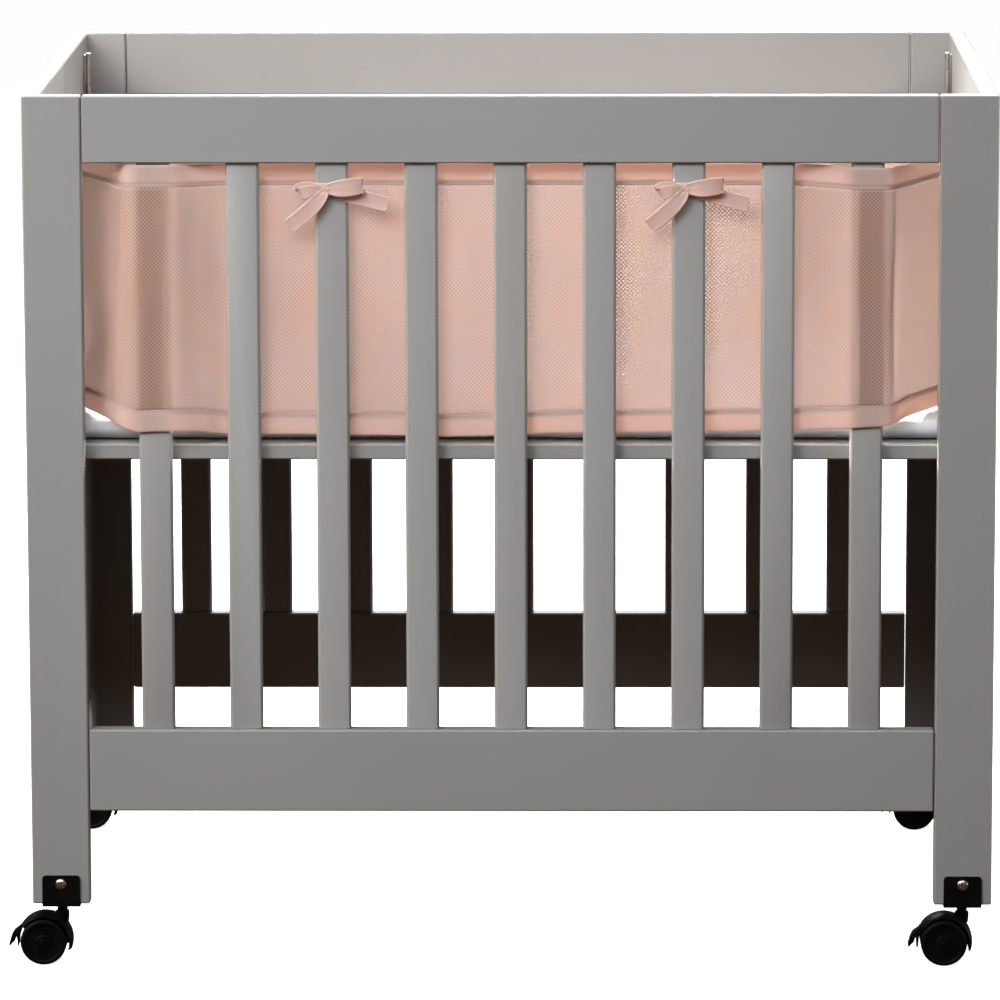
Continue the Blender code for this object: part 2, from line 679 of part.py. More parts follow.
# ---------------------------------------------------------------- ties
def ribbon(stations):
    """A closed length of tape through its stations."""
    rings = []
    for i, here in enumerate(stations):
        before, after = stations[max(i - 1, 0)], stations[min(i + 1, len(stations) - 1)]
        along = Vector((after.x - before.x, after.y - before.y, after.z - before.z))
        lean = math.radians(here.lean)
        across = Vector((math.sin(lean), 0, math.cos(lean)))
        half_sheet = along.cross(across).normalized() * TAPE_SHEET / 2
        middle = Vector((here.x, here.y, here.z))
        edge = across * here.half
        corners = (edge + half_sheet, edge - half_sheet, -edge - half_sheet, -edge + half_sheet)
        rings.append([middle + corner for corner in corners])
    return loft(rings)


def tie_mesh(aside):
    """A band round a slat and a bow in front of it. The origin is the knot's middle."""
    half_x = SLAT_WIDTH / 2 + WRAP_EASE
    near = KNOT_STANDOFF - WRAP_EASE
    far = KNOT_STANDOFF + SLAT_THICKNESS + WRAP_EASE
    inner = ((aside - half_x, near, -WRAP_HALF * 2), (aside + half_x, far, WRAP_HALF * 2))
    outer = (
        (aside - half_x - TAPE_SHEET, near - TAPE_SHEET, -WRAP_HALF),
        (aside + half_x + TAPE_SHEET, far + TAPE_SHEET, WRAP_HALF),
    )
    knot = box([-half for half in KNOT_HALF], KNOT_HALF)
    bevel(knot, knot.edges[:], KNOT_ROUND, 2)
    parts = [box(*outer), knot] + [ribbon(part) for part in BOW]
    return fused("tie", parts, cut=[box(*inner)])


def ties(crib):
    """Two ties on the front slats, and the same two on the back ones."""
    for hand, number, aside in TIED_SLATS:
        mesh = tie_mesh(aside)
        x = slat_x(number)
        depth = SLAT_RECESS - KNOT_STANDOFF
        front = add(f"tie_front_{hand}", mesh, "tape_cloth", crib)
        front.location = (x - aside, FRONT + depth, KNOT_HEIGHT)
        back = add(f"tie_back_{hand}", mesh, "tape_cloth", crib)
        back.location = (x + aside, -FRONT - depth, KNOT_HEIGHT)
        back.rotation_euler.z = math.pi


# ---------------------------------------------------------------- the whole
def main():
    clear_scene()
    crib = add("crib", None)
    crib.location.x = CENTRE_SHIFT
    for word, end in (("front", -1), ("back", 1)):
        for hand, side in (("left", -1), ("right", 1)):
            post(f"post_{word}_{hand}", side, end, crib)
        long_side(word, end, crib)
    for word, side in (("left", -1), ("right", 1)):
        end_side(word, side, crib)
    bed(crib)
    casters(crib)
    liner(crib)
    ties(crib)


main()
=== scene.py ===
# %% [markdown]
# # A mesh crib liner in its crib
#
# A crib liner is a long strip of open mesh with a folded binding along both edges. Tapes sewn to
# the upper binding go round a slat and are tied in a bow. This lesson dresses a finished set of
# CAD solids: the hard parts keep their solids and get a finish, and the soft parts are built
# again, finer, on the same measures. All lengths are in metres, +X is to the right, +Y to the
# back, and the floor is at Z = 0.
# %% Load the frame
import math
from collections import namedtuple

import bmesh
import bpy
from mathutils import Matrix, Vector, noise


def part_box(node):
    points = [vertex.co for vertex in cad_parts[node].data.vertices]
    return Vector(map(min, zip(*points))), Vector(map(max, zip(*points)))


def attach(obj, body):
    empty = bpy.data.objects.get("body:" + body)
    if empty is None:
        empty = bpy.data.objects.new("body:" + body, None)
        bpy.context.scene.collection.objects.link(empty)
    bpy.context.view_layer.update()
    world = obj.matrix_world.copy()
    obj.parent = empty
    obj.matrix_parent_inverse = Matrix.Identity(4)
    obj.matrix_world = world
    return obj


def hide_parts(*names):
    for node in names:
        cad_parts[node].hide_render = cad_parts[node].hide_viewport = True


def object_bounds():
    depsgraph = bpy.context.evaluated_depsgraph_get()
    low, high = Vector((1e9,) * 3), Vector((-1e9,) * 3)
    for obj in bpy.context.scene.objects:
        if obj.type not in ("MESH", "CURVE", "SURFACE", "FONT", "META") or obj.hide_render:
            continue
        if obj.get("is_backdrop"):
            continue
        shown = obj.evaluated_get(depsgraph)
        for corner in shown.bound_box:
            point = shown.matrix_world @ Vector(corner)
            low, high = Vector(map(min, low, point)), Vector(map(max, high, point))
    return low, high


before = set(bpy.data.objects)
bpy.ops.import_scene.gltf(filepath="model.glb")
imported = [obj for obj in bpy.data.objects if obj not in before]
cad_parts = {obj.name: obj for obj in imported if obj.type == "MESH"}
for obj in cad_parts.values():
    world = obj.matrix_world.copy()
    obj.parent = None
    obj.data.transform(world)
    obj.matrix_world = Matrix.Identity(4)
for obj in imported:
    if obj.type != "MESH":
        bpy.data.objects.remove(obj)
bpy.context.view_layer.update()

# %% [markdown]
# ## Camera
#
# The crib was photographed from about seven metres away with a long lens, a little above it and a
# little to the right of its middle. A long lens keeps the uprights parallel, so the camera is
# placed by its distance first and the lens follows from the width that the crib fills. The shift
# stays at zero, so that other views of the same scene are framed as well.
# %% Camera
CAMERA_PLACE = Vector((0.1042, -6.9218, 1.6304))
CAMERA_YAW, CAMERA_PITCH, CAMERA_ROLL = 0.015507, 0.171193, 0.0022895  # radians
FOCAL_LENGTH, SENSOR_WIDTH = 233.71, 36.0  # millimetres
FARTHEST = 120.0
scene = bpy.context.scene
lens = bpy.data.cameras.new("camera")
lens.lens, lens.sensor_width, lens.clip_end = FOCAL_LENGTH, SENSOR_WIDTH, FARTHEST
camera = bpy.data.objects.new("camera", lens)
scene.collection.objects.link(camera)
camera.matrix_world = (
    Matrix.Translation(CAMERA_PLACE)
    @ Matrix.Rotation(CAMERA_YAW, 4, "Z")
    @ Matrix.Rotation(math.pi / 2 - CAMERA_PITCH, 4, "X")
    @ Matrix.Rotation(-CAMERA_ROLL, 4, "Z")
)
scene.camera = camera
print("camera", CAMERA_PLACE[:], FOCAL_LENGTH, "mm")

# %% [markdown]
# ## Colours and nodes
#
# A colour picked from a picture is an sRGB value, while a shader adds up light, so it needs the
# linear value. One function turns a hex code into that. A second one adds a node with its settings
# and its inputs, each either a number or the socket that feeds it. Nearly every surface then runs
# between two close tones, and between two degrees of gloss, so each of these has a recipe.
# %% Colours and nodes
MM = 0.001


def linear(code):
    """The linear colour of an sRGB hex code."""
    shares = [int(code[i : i + 2], 16) / 255 for i in (1, 3, 5)]
    return [s / 12.92 if s <= 0.04045 else ((s + 0.055) / 1.055) ** 2.4 for s in shares] + [1.0]


def add_node(tree, kind, inputs=None, **settings):
    """A shader node with its settings, and each of its inputs set or fed by a socket."""
    made = tree.nodes.new("ShaderNode" + kind)
    for key, value in settings.items():
        setattr(made, key, value)
    for key, value in (inputs or {}).items():
        if isinstance(value, bpy.types.NodeSocket):
            tree.links.new(value, made.inputs[key])
        else:
            made.inputs[key].default_value = value
    return made


def start_material(name, **constants):
    """A material with a Principled shader whose even values are set on its own sockets."""
    made = bpy.data.materials.new(name)
    made.use_nodes = True
    shader = made.node_tree.nodes["Principled BSDF"]
    for key, value in constants.items():
        shader.inputs[key.replace("_", " ")].default_value = value
    return made, made.node_tree, shader


def toned(tree, target, value, low, high, first, second):
    """Colours a socket from one hex code to another, as a value runs from low to high."""
    share = add_node(tree, "MapRange", {"Value": value, "From Min": low, "From Max": high})
    tones = {"Factor": share.outputs["Result"], "A": linear(first), "B": linear(second)}
    colour = add_node(tree, "Mix", tones, data_type="RGBA").outputs["Result"]
    tree.links.new(colour, target)
    return colour


def glossed(tree, shader, value, smooth, rough):
    """Sets a shader's roughness by a noise, most of which lies between 0.3 and 0.7."""
    inputs = {"Value": value, "From Min": 0.3, "From Max": 0.7, "To Min": smooth, "To Max": rough}
    degree = add_node(tree, "MapRange", inputs).outputs["Result"]
    tree.links.new(degree, shader.inputs["Roughness"])


# %% [markdown]
# ## Studio
#
# The object stands on a plain white floor under soft light. Two softboxes in front wear a grid, a
# honeycomb that narrows the fan of their light. They are aimed above the crib's head, so the light
# fades down the front. A wide one on the left models the faces, a large one behind shines through
# the cloth, and a low one on the right fills the other end. Two small boxes with a narrow grid
# reach over the ends into the front corners, where the cloth turns away from the rest. The world
# is a dim grey above the horizon and a darker warm tone below it, and the white floor sends no
# light up, so the space under the bed stays dark.
# %% Studio
scene.view_settings.view_transform = "Standard"
scene.view_settings.look = "None"

BOUNCE, SKY = "#472E19", "#626466"
HORIZON_FROM, HORIZON_TO = -0.10, -0.03  # how steeply a ray goes down where the tones meet
world = bpy.data.worlds.new("studio")
scene.world = world
world.use_nodes = True
sky = world.node_tree
direction = add_node(sky, "TexCoord").outputs["Generated"]
height = add_node(sky, "SeparateXYZ", {"Vector": direction}).outputs["Z"]
backdrop = sky.nodes["Background"].inputs["Color"]
toned(sky, backdrop, height, HORIZON_FROM, HORIZON_TO, BOUNCE, SKY)


def softbox(name, place, aim, width, depth, power, grid=180.0, code="#FFFFFF"):
    """A rectangular area light that faces a point. grid is how wide its honeycomb lets it fan."""
    light = bpy.data.lights.new(name, "AREA")
    light.shape, light.size, light.size_y = "RECTANGLE", width, depth
    light.energy = power
    light.spread = math.radians(grid)
    light.color = linear(code)[:3]
    made = bpy.data.objects.new(name, light)
    scene.collection.objects.link(made)
    made.location = place
    made.rotation_euler = (Vector(aim) - Vector(place)).to_track_quat("-Z", "Y").to_euler()


MIDDLE, HEAD, LEFT_HEAD = (0.0, 0.0, 0.6), (0.0, -0.3, 1.13), (-0.6, -0.3, 1.13)
softbox("softbox_left_front", (-2.2, -3.0, 3.2), LEFT_HEAD, 2.4, 2.2, 17.6, 46.0, "#FDFCFF")
softbox("softbox_left", (-3.8, -0.8, 2.6), MIDDLE, 2.0, 2.0, 120.0, 180.0, "#FFF6EA")
softbox("softbox_front", (0.2, -3.6, 3.6), HEAD, 2.6, 2.0, 8.0, 46.0, "#FDFCFF")
softbox("softbox_back", (0.0, 3.2, 3.2), MIDDLE, 2.6, 2.0, 340.0, 180.0, "#FAFCFF")
softbox("softbox_right_fill", (4.0, 0.5, 0.5), (0.5, 0.0, 0.5), 1.6, 0.9, 60.0)
softbox("softbox_right_corner", (-1.9, 0.9, 2.2), (0.42, -0.26, 0.62), 0.4, 0.4, 3.8, 16.0)
softbox("softbox_left_corner", (1.9, 0.9, 2.2), (-0.39, -0.26, 0.62), 0.4, 0.4, 1.6, 16.0)

FLOOR_REACH = 45.0
floor_shape = bmesh.new()
bmesh.ops.create_grid(floor_shape, x_segments=8, y_segments=8, size=FLOOR_REACH)
floor_mesh = bpy.data.meshes.new("floor")
floor_shape.to_mesh(floor_mesh)
floor_shape.free()
floor = bpy.data.objects.new("floor", floor_mesh)
scene.collection.objects.link(floor)
floor.visible_diffuse = floor.visible_glossy = floor.visible_shadow = False
paper, _, paper_shader = start_material(
    "white_paper_roll", Roughness=0.9, Emission_Strength=0.86, Emission_Color=linear("#FFFFFF")
)
paper_shader.inputs["Base Color"].default_value = linear("#F2F2F2")
floor_mesh.materials.append(paper)
floor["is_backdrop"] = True

# %% [markdown]
# ## Grey lacquer
#
# The crib is wood under a sprayed satin lacquer. Such a coat is even in colour, but it settles
# into a faint orange peel and lets a trace of the grain through. The grain runs along each board,
# so the uprights and the level boards get the same finish with the pattern turned.
# %% Grey lacquer
GRAIN_LINE, GRAIN_DRAW = 4.0 * MM, 0.03  # across the lines, and how far they are drawn out
PEEL, LACQUER_CLOUD = 2.4 * MM, 200 * MM  # the orange peel, and slow changes of tone


def lacquer(name, grain_axis, dark="#939390", light="#979794"):
    """Satin lacquer on wood with the grain along one axis, 0 for X and 2 for Z."""
    made, tree, shader = start_material(name, IOR=1.5, Coat_Weight=0.0)
    place = add_node(tree, "TexCoord").outputs["Object"]
    scale = [1.0, 1.0, 1.0]
    scale[grain_axis] = GRAIN_DRAW
    drawn = add_node(tree, "Mapping", {"Vector": place, "Scale": scale}).outputs["Vector"]
    lines = {"Vector": drawn, "Scale": 1 / GRAIN_LINE, "Detail": 3.0, "Roughness": 0.6}
    grain = add_node(tree, "TexNoise", lines).outputs["Fac"]
    slow = {"Vector": place, "Scale": 1 / LACQUER_CLOUD, "Detail": 2.0}
    cloud = add_node(tree, "TexNoise", slow).outputs["Fac"]
    tone = add_node(tree, "Math", {0: grain, 1: 0.35, 2: cloud}, operation="MULTIPLY_ADD")
    toned(tree, shader.inputs["Base Color"], tone.outputs["Value"], 0.45, 0.90, dark, light)
    spots = {"Vector": place, "Scale": 1 / PEEL, "Detail": 1.0}
    peel = add_node(tree, "TexNoise", spots).outputs["Fac"]
    glossed(tree, shader, peel, 0.40, 0.50)
    relief = {0: grain, 1: 0.4, 2: peel}
    relief = add_node(tree, "Math", relief, operation="MULTIPLY_ADD").outputs["Value"]
    bump = add_node(tree, "Bump", {"Height": relief, "Strength": 0.2, "Distance": 0.04 * MM})
    tree.links.new(bump.outputs["Normal"], shader.inputs["Normal"])
    return made


upright_lacquer = lacquer("satin_lacquer_upright_grain", 2)
level_lacquer = lacquer("satin_lacquer_level_grain", 0)
for name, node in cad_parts.items():
    if name.startswith(("post_", "end_")):
        node.material_slots[0].material = upright_lacquer
    elif name.startswith(("top_rail_", "bottom_rail_", "base_board")):
        node.material_slots[0].material = level_lacquer
print("lacquered", sum(n.startswith(("post_", "end_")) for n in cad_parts), "uprights")

# %% [markdown]
# ## Pieces
#
# Each new piece goes through one function. It merges doubled points, turns the faces outwards and
# smooths the shading up to an angle, as sharp edges on a moulded or turned part stay visible. It
# then gives the piece its material, hangs it under the root body and hides the CAD nodes it
# replaces.
# %% Pieces
def piece(name, shape, material, replaced=(), smooth=35.0, merge=1e-6):
    """A finished object at the origin, made from a bmesh whose place is in its points."""
    if merge:
        bmesh.ops.remove_doubles(shape, verts=shape.verts, dist=merge)
    bmesh.ops.recalc_face_normals(shape, faces=shape.faces)
    mesh = bpy.data.meshes.new(name)
    shape.to_mesh(mesh)
    shape.free()
    mesh.shade_smooth()
    mesh.set_sharp_from_angle(angle=math.radians(smooth))
    mesh.materials.append(material)
    made = bpy.data.objects.new(name, mesh)
    scene.collection.objects.link(made)
    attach(made, "root")
    if replaced:
        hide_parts(*replaced)
    return made


def middle_of(node):
    """The middle of a CAD node's box."""
    low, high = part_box(node)
    return (low + high) / 2


def bevel(shape, edges, width, segments=2):
    """Rounds edges over a width, or with one segment cuts them off flat."""
    bmesh.ops.bevel(
        shape,
        geom=edges,
        offset=width,
        offset_type="OFFSET",
        affect="EDGES",
        segments=segments,
        profile=0.5,
        material=-1,
    )


def add_box(shape, low, high, ease=0.0, segments=2):
    """A box between two corners in a bmesh, with its edges rounded."""
    low, high = Vector(low), Vector(high)
    place = Matrix.Translation((low + high) / 2) @ Matrix.Diagonal((*(high - low), 1.0))
    made = bmesh.ops.create_cube(shape, size=1.0, matrix=place)
    edges = {edge for vert in made["verts"] for edge in vert.link_edges}
    if ease:
        bevel(shape, list(edges), ease, segments)


def add_turned(shape, profile, sides, place, along="Z"):
    """A body turned from (radius, height) points about an axis, then laid along another."""
    rim = [shape.verts.new((radius, 0.0, rise)) for radius, rise in profile]
    edges = [shape.edges.new(pair) for pair in zip(rim, rim[1:])]
    bmesh.ops.spin(
        shape,
        geom=rim + edges,
        cent=(0, 0, 0),
        axis=(0, 0, 1),
        angle=math.tau,
        steps=sides,
        use_merge=True,
    )
    found, todo = set(rim), list(rim)
    while todo:
        for edge in todo.pop().link_edges:
            for vert in edge.verts:
                if vert not in found:
                    found.add(vert)
                    todo.append(vert)
    turn = {"Z": Matrix.Identity(4), "Y": Matrix.Rotation(math.pi / 2, 4, "X")}[along]
    bmesh.ops.transform(shape, matrix=Matrix.Translation(place) @ turn, verts=list(found))


# %% [markdown]
# ## Slats
#
# The slats are planed with a clear chamfer along each long edge, which catches the light as a
# bright line. Each slat is the box of its solid. Its four long edges are cut off flat first, and
# then all edges are eased a little, as the lacquer rounds them.
# %% Slats
CHAMFER, LACQUER_ROUND = 2.6 * MM, 0.45 * MM
# The slats wear a slightly lighter copy of the frame's lacquer: painted light that brightens them
# beside the posts and rails.
slat_lacquer_with_painted_light = lacquer("satin_lacquer_on_slats_painted_light", 2, "#9B9B98", "#9F9F9C")
for node in [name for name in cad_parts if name.startswith("slat_")]:
    low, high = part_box(node)
    shape = bmesh.new()
    add_box(shape, low, high)
    upright = [e for e in shape.edges if abs(e.verts[0].co.z - e.verts[1].co.z) > 0.1]
    bevel(shape, upright, CHAMFER, 1)
    bevel(shape, shape.edges[:], LACQUER_ROUND, 2)
    piece(f"{node}_planed", shape, slat_lacquer_with_painted_light, [node], 20.0)
print("slats", sum(name.startswith("slat_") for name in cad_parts))

# %% [markdown]
# ## Caster finishes
#
# The casters are moulded nylon, the brackets are steel with a black powder coat, and the screws
# are nickel plated. Moulded nylon has a fine even grain of about half a millimetre and a dull
# shine. Powder coat is rougher, with a texture near one millimetre. Plating is a mirror with
# faint wipes, so its roughness changes softly.
# %% Caster finishes
WEAR, WIPE = 16.7 * MM, 1.1 * MM  # patches of wear on black, and the width of a wipe on metal


def grained_black(name, dark, light, grain, depth, smooth, rough):
    """Black plastic or powder coat. grain is the size of its texture and depth its height."""
    made, tree, shader = start_material(name, IOR=1.5, Specular_IOR_Level=0.07)
    place = add_node(tree, "TexCoord").outputs["Object"]
    texture = {"Vector": place, "Scale": 1 / grain, "Detail": 2.0}
    fine = add_node(tree, "TexNoise", texture).outputs["Fac"]
    patches = {"Vector": place, "Scale": 1 / WEAR, "Detail": 4.0}
    wear = add_node(tree, "TexNoise", patches).outputs["Fac"]
    toned(tree, shader.inputs["Base Color"], wear, 0.35, 0.75, dark, light)
    glossed(tree, shader, fine, smooth, rough)
    bump = add_node(tree, "Bump", {"Height": fine, "Strength": 0.5, "Distance": depth})
    tree.links.new(bump.outputs["Normal"], shader.inputs["Normal"])
    return made


moulded_nylon = grained_black(
    "moulded_black_nylon", "#070708", "#111112", 0.6 * MM, 0.05 * MM, 0.34, 0.48
)
powder_coat = grained_black(
    "black_powder_coat", "#070707", "#101010", 1.1 * MM, 0.08 * MM, 0.42, 0.60
)


def bright_metal(name, dark, light, smooth, rough, stretch):
    """Plated or brushed metal. stretch draws the wipes out along the uprights."""
    made, tree, shader = start_material(name, Metallic=1.0)
    place = add_node(tree, "TexCoord").outputs["Object"]
    scale = (1.0, 1.0, stretch)
    drawn = add_node(tree, "Mapping", {"Vector": place, "Scale": scale}).outputs["Vector"]
    lines = {"Vector": drawn, "Scale": 1 / WIPE, "Detail": 3.0}
    wipes = add_node(tree, "TexNoise", lines).outputs["Fac"]
    toned(tree, shader.inputs["Base Color"], wipes, 0.0, 1.0, dark, light)
    glossed(tree, shader, wipes, smooth, rough)
    return made


nickel_plate = bright_metal("nickel_plate", "#B9B3A8", "#D8D2C8", 0.20, 0.32, 1.0)
zinc_plate = bright_metal("brushed_zinc_plate", "#8F8F8C", "#B4B4B0", 0.32, 0.48, 0.08)
for name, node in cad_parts.items():
    if name.startswith("caster_bracket_"):
        node.material_slots[0].material = powder_coat
print("finishes", [m.name for m in (moulded_nylon, powder_coat, nickel_plate, zinc_plate)])

# %% [markdown]
# ## Caster wheels
#
# A twin-wheel caster has two discs on one axle. Each disc is moulded with a round tyre edge, a
# dished face and a hub, so it is turned from one half section, as on a lathe: a chain of edges is
# spun once round the axle and closed. Both wheels and the axle are one chain, mirrored about the
# caster's middle.
# %% Caster wheels
CORNERS = [(end, hand) for end in ("front", "back") for hand in ("left", "right")]
WHEEL_CENTRE = 0.0241
WHEEL_SECTION = [  # radius and distance from the caster's middle
    (0.0000, 0.0200),
    (0.0026, 0.0200),
    (0.0032, 0.0194),
    (0.0072, 0.0192),
    (0.0082, 0.0182),
    (0.0150, 0.0176),
    (0.0184, 0.0182),
    (0.0192, 0.0195),
    (0.0204, 0.0200),
    (0.0222, 0.0197),
    (0.0235, 0.0187),
    (0.0241, 0.0170),
    (0.0241, 0.0075),
    (0.0236, 0.0058),
    (0.0224, 0.0049),
    (0.0120, 0.0047),
    (0.0041, 0.0047),
]
chain = WHEEL_SECTION + [(radius, -along) for radius, along in WHEEL_SECTION[::-1]]
for end, hand in CORNERS:
    node = f"caster_wheels_{end}_{hand}"
    centre = middle_of(node)
    centre.z = WHEEL_CENTRE
    shape = bmesh.new()
    add_turned(shape, chain, 56, centre, "Y")
    piece(f"wheels_{end}_{hand}", shape, moulded_nylon, [node], 28.0)
print("wheel pairs", len(CORNERS), "each of", len(chain), "section points")

# %% [markdown]
# ## Caster hoods
#
# The hood is a thin dome over both wheels, carried by a web that runs down between them to the
# axle. A stem rises from it into the bracket, and a brake lever sticks out behind. The dome is a
# closed section spun part of the way round the axle. Its ends are then capped, and each point is
# pushed out a little at the stem's side, where the real dome is fuller.
# %% Caster hoods
HOOD_FROM, HOOD_TO, HOOD_OVAL = -18.0, 145.0, 0.0016
HOOD_SECTION = [  # distance from the axle, and from the caster's middle
    (0.0257, -0.0172),
    (0.0267, -0.0152),
    (0.0276, -0.0125),
    (0.0282, -0.0090),
    (0.0285, -0.0050),
    (0.0285, 0.0050),
    (0.0282, 0.0090),
    (0.0276, 0.0125),
    (0.0267, 0.0152),
    (0.0257, 0.0172),
    (0.0250, 0.0168),
    (0.0256, 0.0100),
    (0.0256, -0.0100),
    (0.0250, -0.0168),
]
LEVER = [
    (-0.0215, 0.0185),
    (-0.0264, 0.0132),
    (-0.0318, 0.0092),
    (-0.0346, 0.0038),
    (-0.0371, -0.0052),
    (-0.0363, -0.0070),
    (-0.0306, -0.0010),
    (-0.0292, 0.0040),
    (-0.0284, 0.0000),
    (-0.0279, -0.0086),
    (-0.0262, -0.0052),
    (-0.0256, 0.0030),
    (-0.0240, 0.0085),
]
HOOD_EASE = 0.3 * MM
STEM_TRAIL, STEM_TOP = 0.0190, 0.0371
WEB_OUTER, WEB_INNER = 0.0272, 0.0090  # the web's radii about the axle


def arc(radius, first, last, steps):
    """Points on an arc about the axle, between two angles in degrees."""
    turns = [math.radians(first + (last - first) * i / steps) for i in range(steps + 1)]
    return [(radius * math.cos(a), radius * math.sin(a)) for a in turns]


def push(shape, outline, rise, ease):
    """An outline pushed along Y to both sides of the caster's middle, with its edges eased."""
    face = shape.faces.new([shape.verts.new((x, -rise, z)) for x, z in outline])
    pushed = bmesh.ops.extrude_face_region(shape, geom=[face])
    moved = [item for item in pushed["geom"] if isinstance(item, bmesh.types.BMVert)]
    bmesh.ops.translate(shape, verts=moved, vec=(0, 2 * rise, 0))
    edges = {edge for vert in moved + list(face.verts) for edge in vert.link_edges}
    bevel(shape, list(edges), ease, 2)


def hood_shape():
    """Hood, web, stem and lever about the axle."""
    shape = bmesh.new()
    start = math.radians(HOOD_FROM)
    ring = [
        shape.verts.new((radius * math.cos(start), y, radius * math.sin(start)))
        for radius, y in HOOD_SECTION
    ]
    edges = [shape.edges.new((a, b)) for a, b in zip(ring, ring[1:] + ring[:1])]
    shape.faces.new(ring)
    spun = bmesh.ops.spin(
        shape,
        geom=ring + edges,
        cent=(0, 0, 0),
        axis=(0, -1, 0),
        angle=math.radians(HOOD_TO - HOOD_FROM),
        steps=32,
    )
    last = [item for item in spun["geom_last"] if isinstance(item, bmesh.types.BMEdge)]
    bmesh.ops.contextual_create(shape, geom=last)
    for vert in shape.verts:
        reach = math.hypot(vert.co.x, vert.co.z)
        out = HOOD_OVAL * (1 + vert.co.x / reach) / 2
        vert.co.x *= 1 + out / reach
        vert.co.z *= 1 + out / reach
    rims = [e for e in shape.edges if any(len(face.verts) > 4 for face in e.link_faces)]
    bevel(shape, rims, HOOD_EASE, 2)
    step = (HOOD_TO - HOOD_FROM) / 18
    web = arc(WEB_OUTER, HOOD_FROM + step, HOOD_TO - step, 16)
    web += arc(WEB_INNER, HOOD_TO, 360 + HOOD_FROM, 8)
    push(shape, web, 4.0 * MM, 0.5 * MM)
    push(shape, LEVER, 6.0 * MM, 0.6 * MM)
    stem = [
        (0.0, 0.0190),
        (0.0064, 0.0190),
        (0.0072, 0.0245),
        (0.0072, 0.0300),
        (0.0066, 0.0306),
        (0.0053, 0.0308),
        (0.0053, 0.0352),
        (0.0068, 0.0354),
        (0.0068, STEM_TOP),
        (0.0, STEM_TOP),
    ]
    add_turned(shape, stem, 24, (STEM_TRAIL, 0, 0))
    return shape


for end, hand in CORNERS:
    node = f"caster_body_{end}_{hand}"
    centre = middle_of(f"caster_wheels_{end}_{hand}")
    centre.z = WHEEL_CENTRE
    shape = hood_shape()
    bmesh.ops.translate(shape, verts=shape.verts, vec=centre)
    piece(f"hood_{end}_{hand}", shape, moulded_nylon, [node])
print("hoods", len(CORNERS))

# %% [markdown]
# ## Screws
#
# Each bracket is held by one domed screw with a cross recess. The dome is turned, and the cross is
# cut with two thin bars, because a recess that is really there catches light and shade from any
# side. The same screw, smaller, holds the hinges.
# %% Screws
CROSS_LONG, CROSS_THIN, CROSS_TURN = 0.55, 0.13, 24  # shares of the head's radius, and degrees


def screw_shape(radius, dome, place, facing):
    """A screw head with a cross recess, standing at a place and facing along a direction."""
    profile = [(0.0, dome)]
    for degrees in (75, 60, 45, 30, 15, 0):
        a = math.radians(degrees)
        profile.append((radius * math.cos(a), dome * math.sin(a)))
    profile += [(radius, -0.0004), (0.0, -0.0004)]
    head, cutter = bmesh.new(), bmesh.new()
    add_turned(head, profile, 28, (0, 0, 0))
    long, thin = CROSS_LONG * radius, CROSS_THIN * radius
    add_box(cutter, (-long, -thin, 0.35 * dome), (long, thin, 2 * dome))
    add_box(cutter, (-thin, -long, 0.35 * dome), (thin, long, 2 * dome))
    holders = []
    for part in (head, cutter):
        bmesh.ops.remove_doubles(part, verts=part.verts, dist=1e-6)
        bmesh.ops.recalc_face_normals(part, faces=part.faces)
        mesh = bpy.data.meshes.new("screw_part")
        part.to_mesh(mesh)
        part.free()
        holders.append(bpy.data.objects.new("screw_part", mesh))
        scene.collection.objects.link(holders[-1])
    cut = holders[0].modifiers.new("cross", "BOOLEAN")
    cut.operation, cut.solver, cut.use_self, cut.object = "DIFFERENCE", "EXACT", True, holders[1]
    graph = bpy.context.evaluated_depsgraph_get()
    made = bmesh.new()
    made.from_mesh(holders[0].evaluated_get(graph).to_mesh())
    for holder in holders:
        bpy.data.objects.remove(holder)
    turn = Vector(facing).to_track_quat("Z", "Y").to_matrix().to_4x4()
    spin = Matrix.Rotation(math.radians(CROSS_TURN), 4, "Z")
    bmesh.ops.transform(made, matrix=Matrix.Translation(place) @ turn @ spin, verts=made.verts)
    return made


def absorb(shape, other):
    """Adds one bmesh to another."""
    mesh = bpy.data.meshes.new("part")
    other.to_mesh(mesh)
    other.free()
    shape.from_mesh(mesh)
    bpy.data.meshes.remove(mesh)


for end, hand in CORNERS:
    node = f"caster_screw_{end}_{hand}"
    low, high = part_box(node)
    out = -1 if end == "front" else 1
    foot = Vector(((low.x + high.x) / 2, high.y if out < 0 else low.y, (low.z + high.z) / 2))
    shape = screw_shape((high.x - low.x) / 2, high.y - low.y, foot, (0, out, 0))
    piece(f"screw_{end}_{hand}", shape, nickel_plate, [node])
print("bracket screws", len(CORNERS))

# %% [markdown]
# ## Hinges
#
# The ends fold in on hinges that are let into the corners. A butt hinge has two leaves and a
# barrel of knuckles about a pin. The leaves are boxes with eased edges. The barrel is one turned
# body whose section dips at the joints between the knuckles, which shows five knuckles without
# five separate rings.
# %% Hinges
HINGE_SHEET, BARREL, KNUCKLES = 1.5 * MM, 3.5 * MM, 5
HINGE_SCREW, SCREW_DOME, SCREW_OFF = 2.7 * MM, 0.7 * MM, 10.5 * MM
DIP, DIP_FOOT, DIP_HEAD = 0.7 * MM, 0.1 * MM, 0.6 * MM  # a joint's depth, and half its two widths


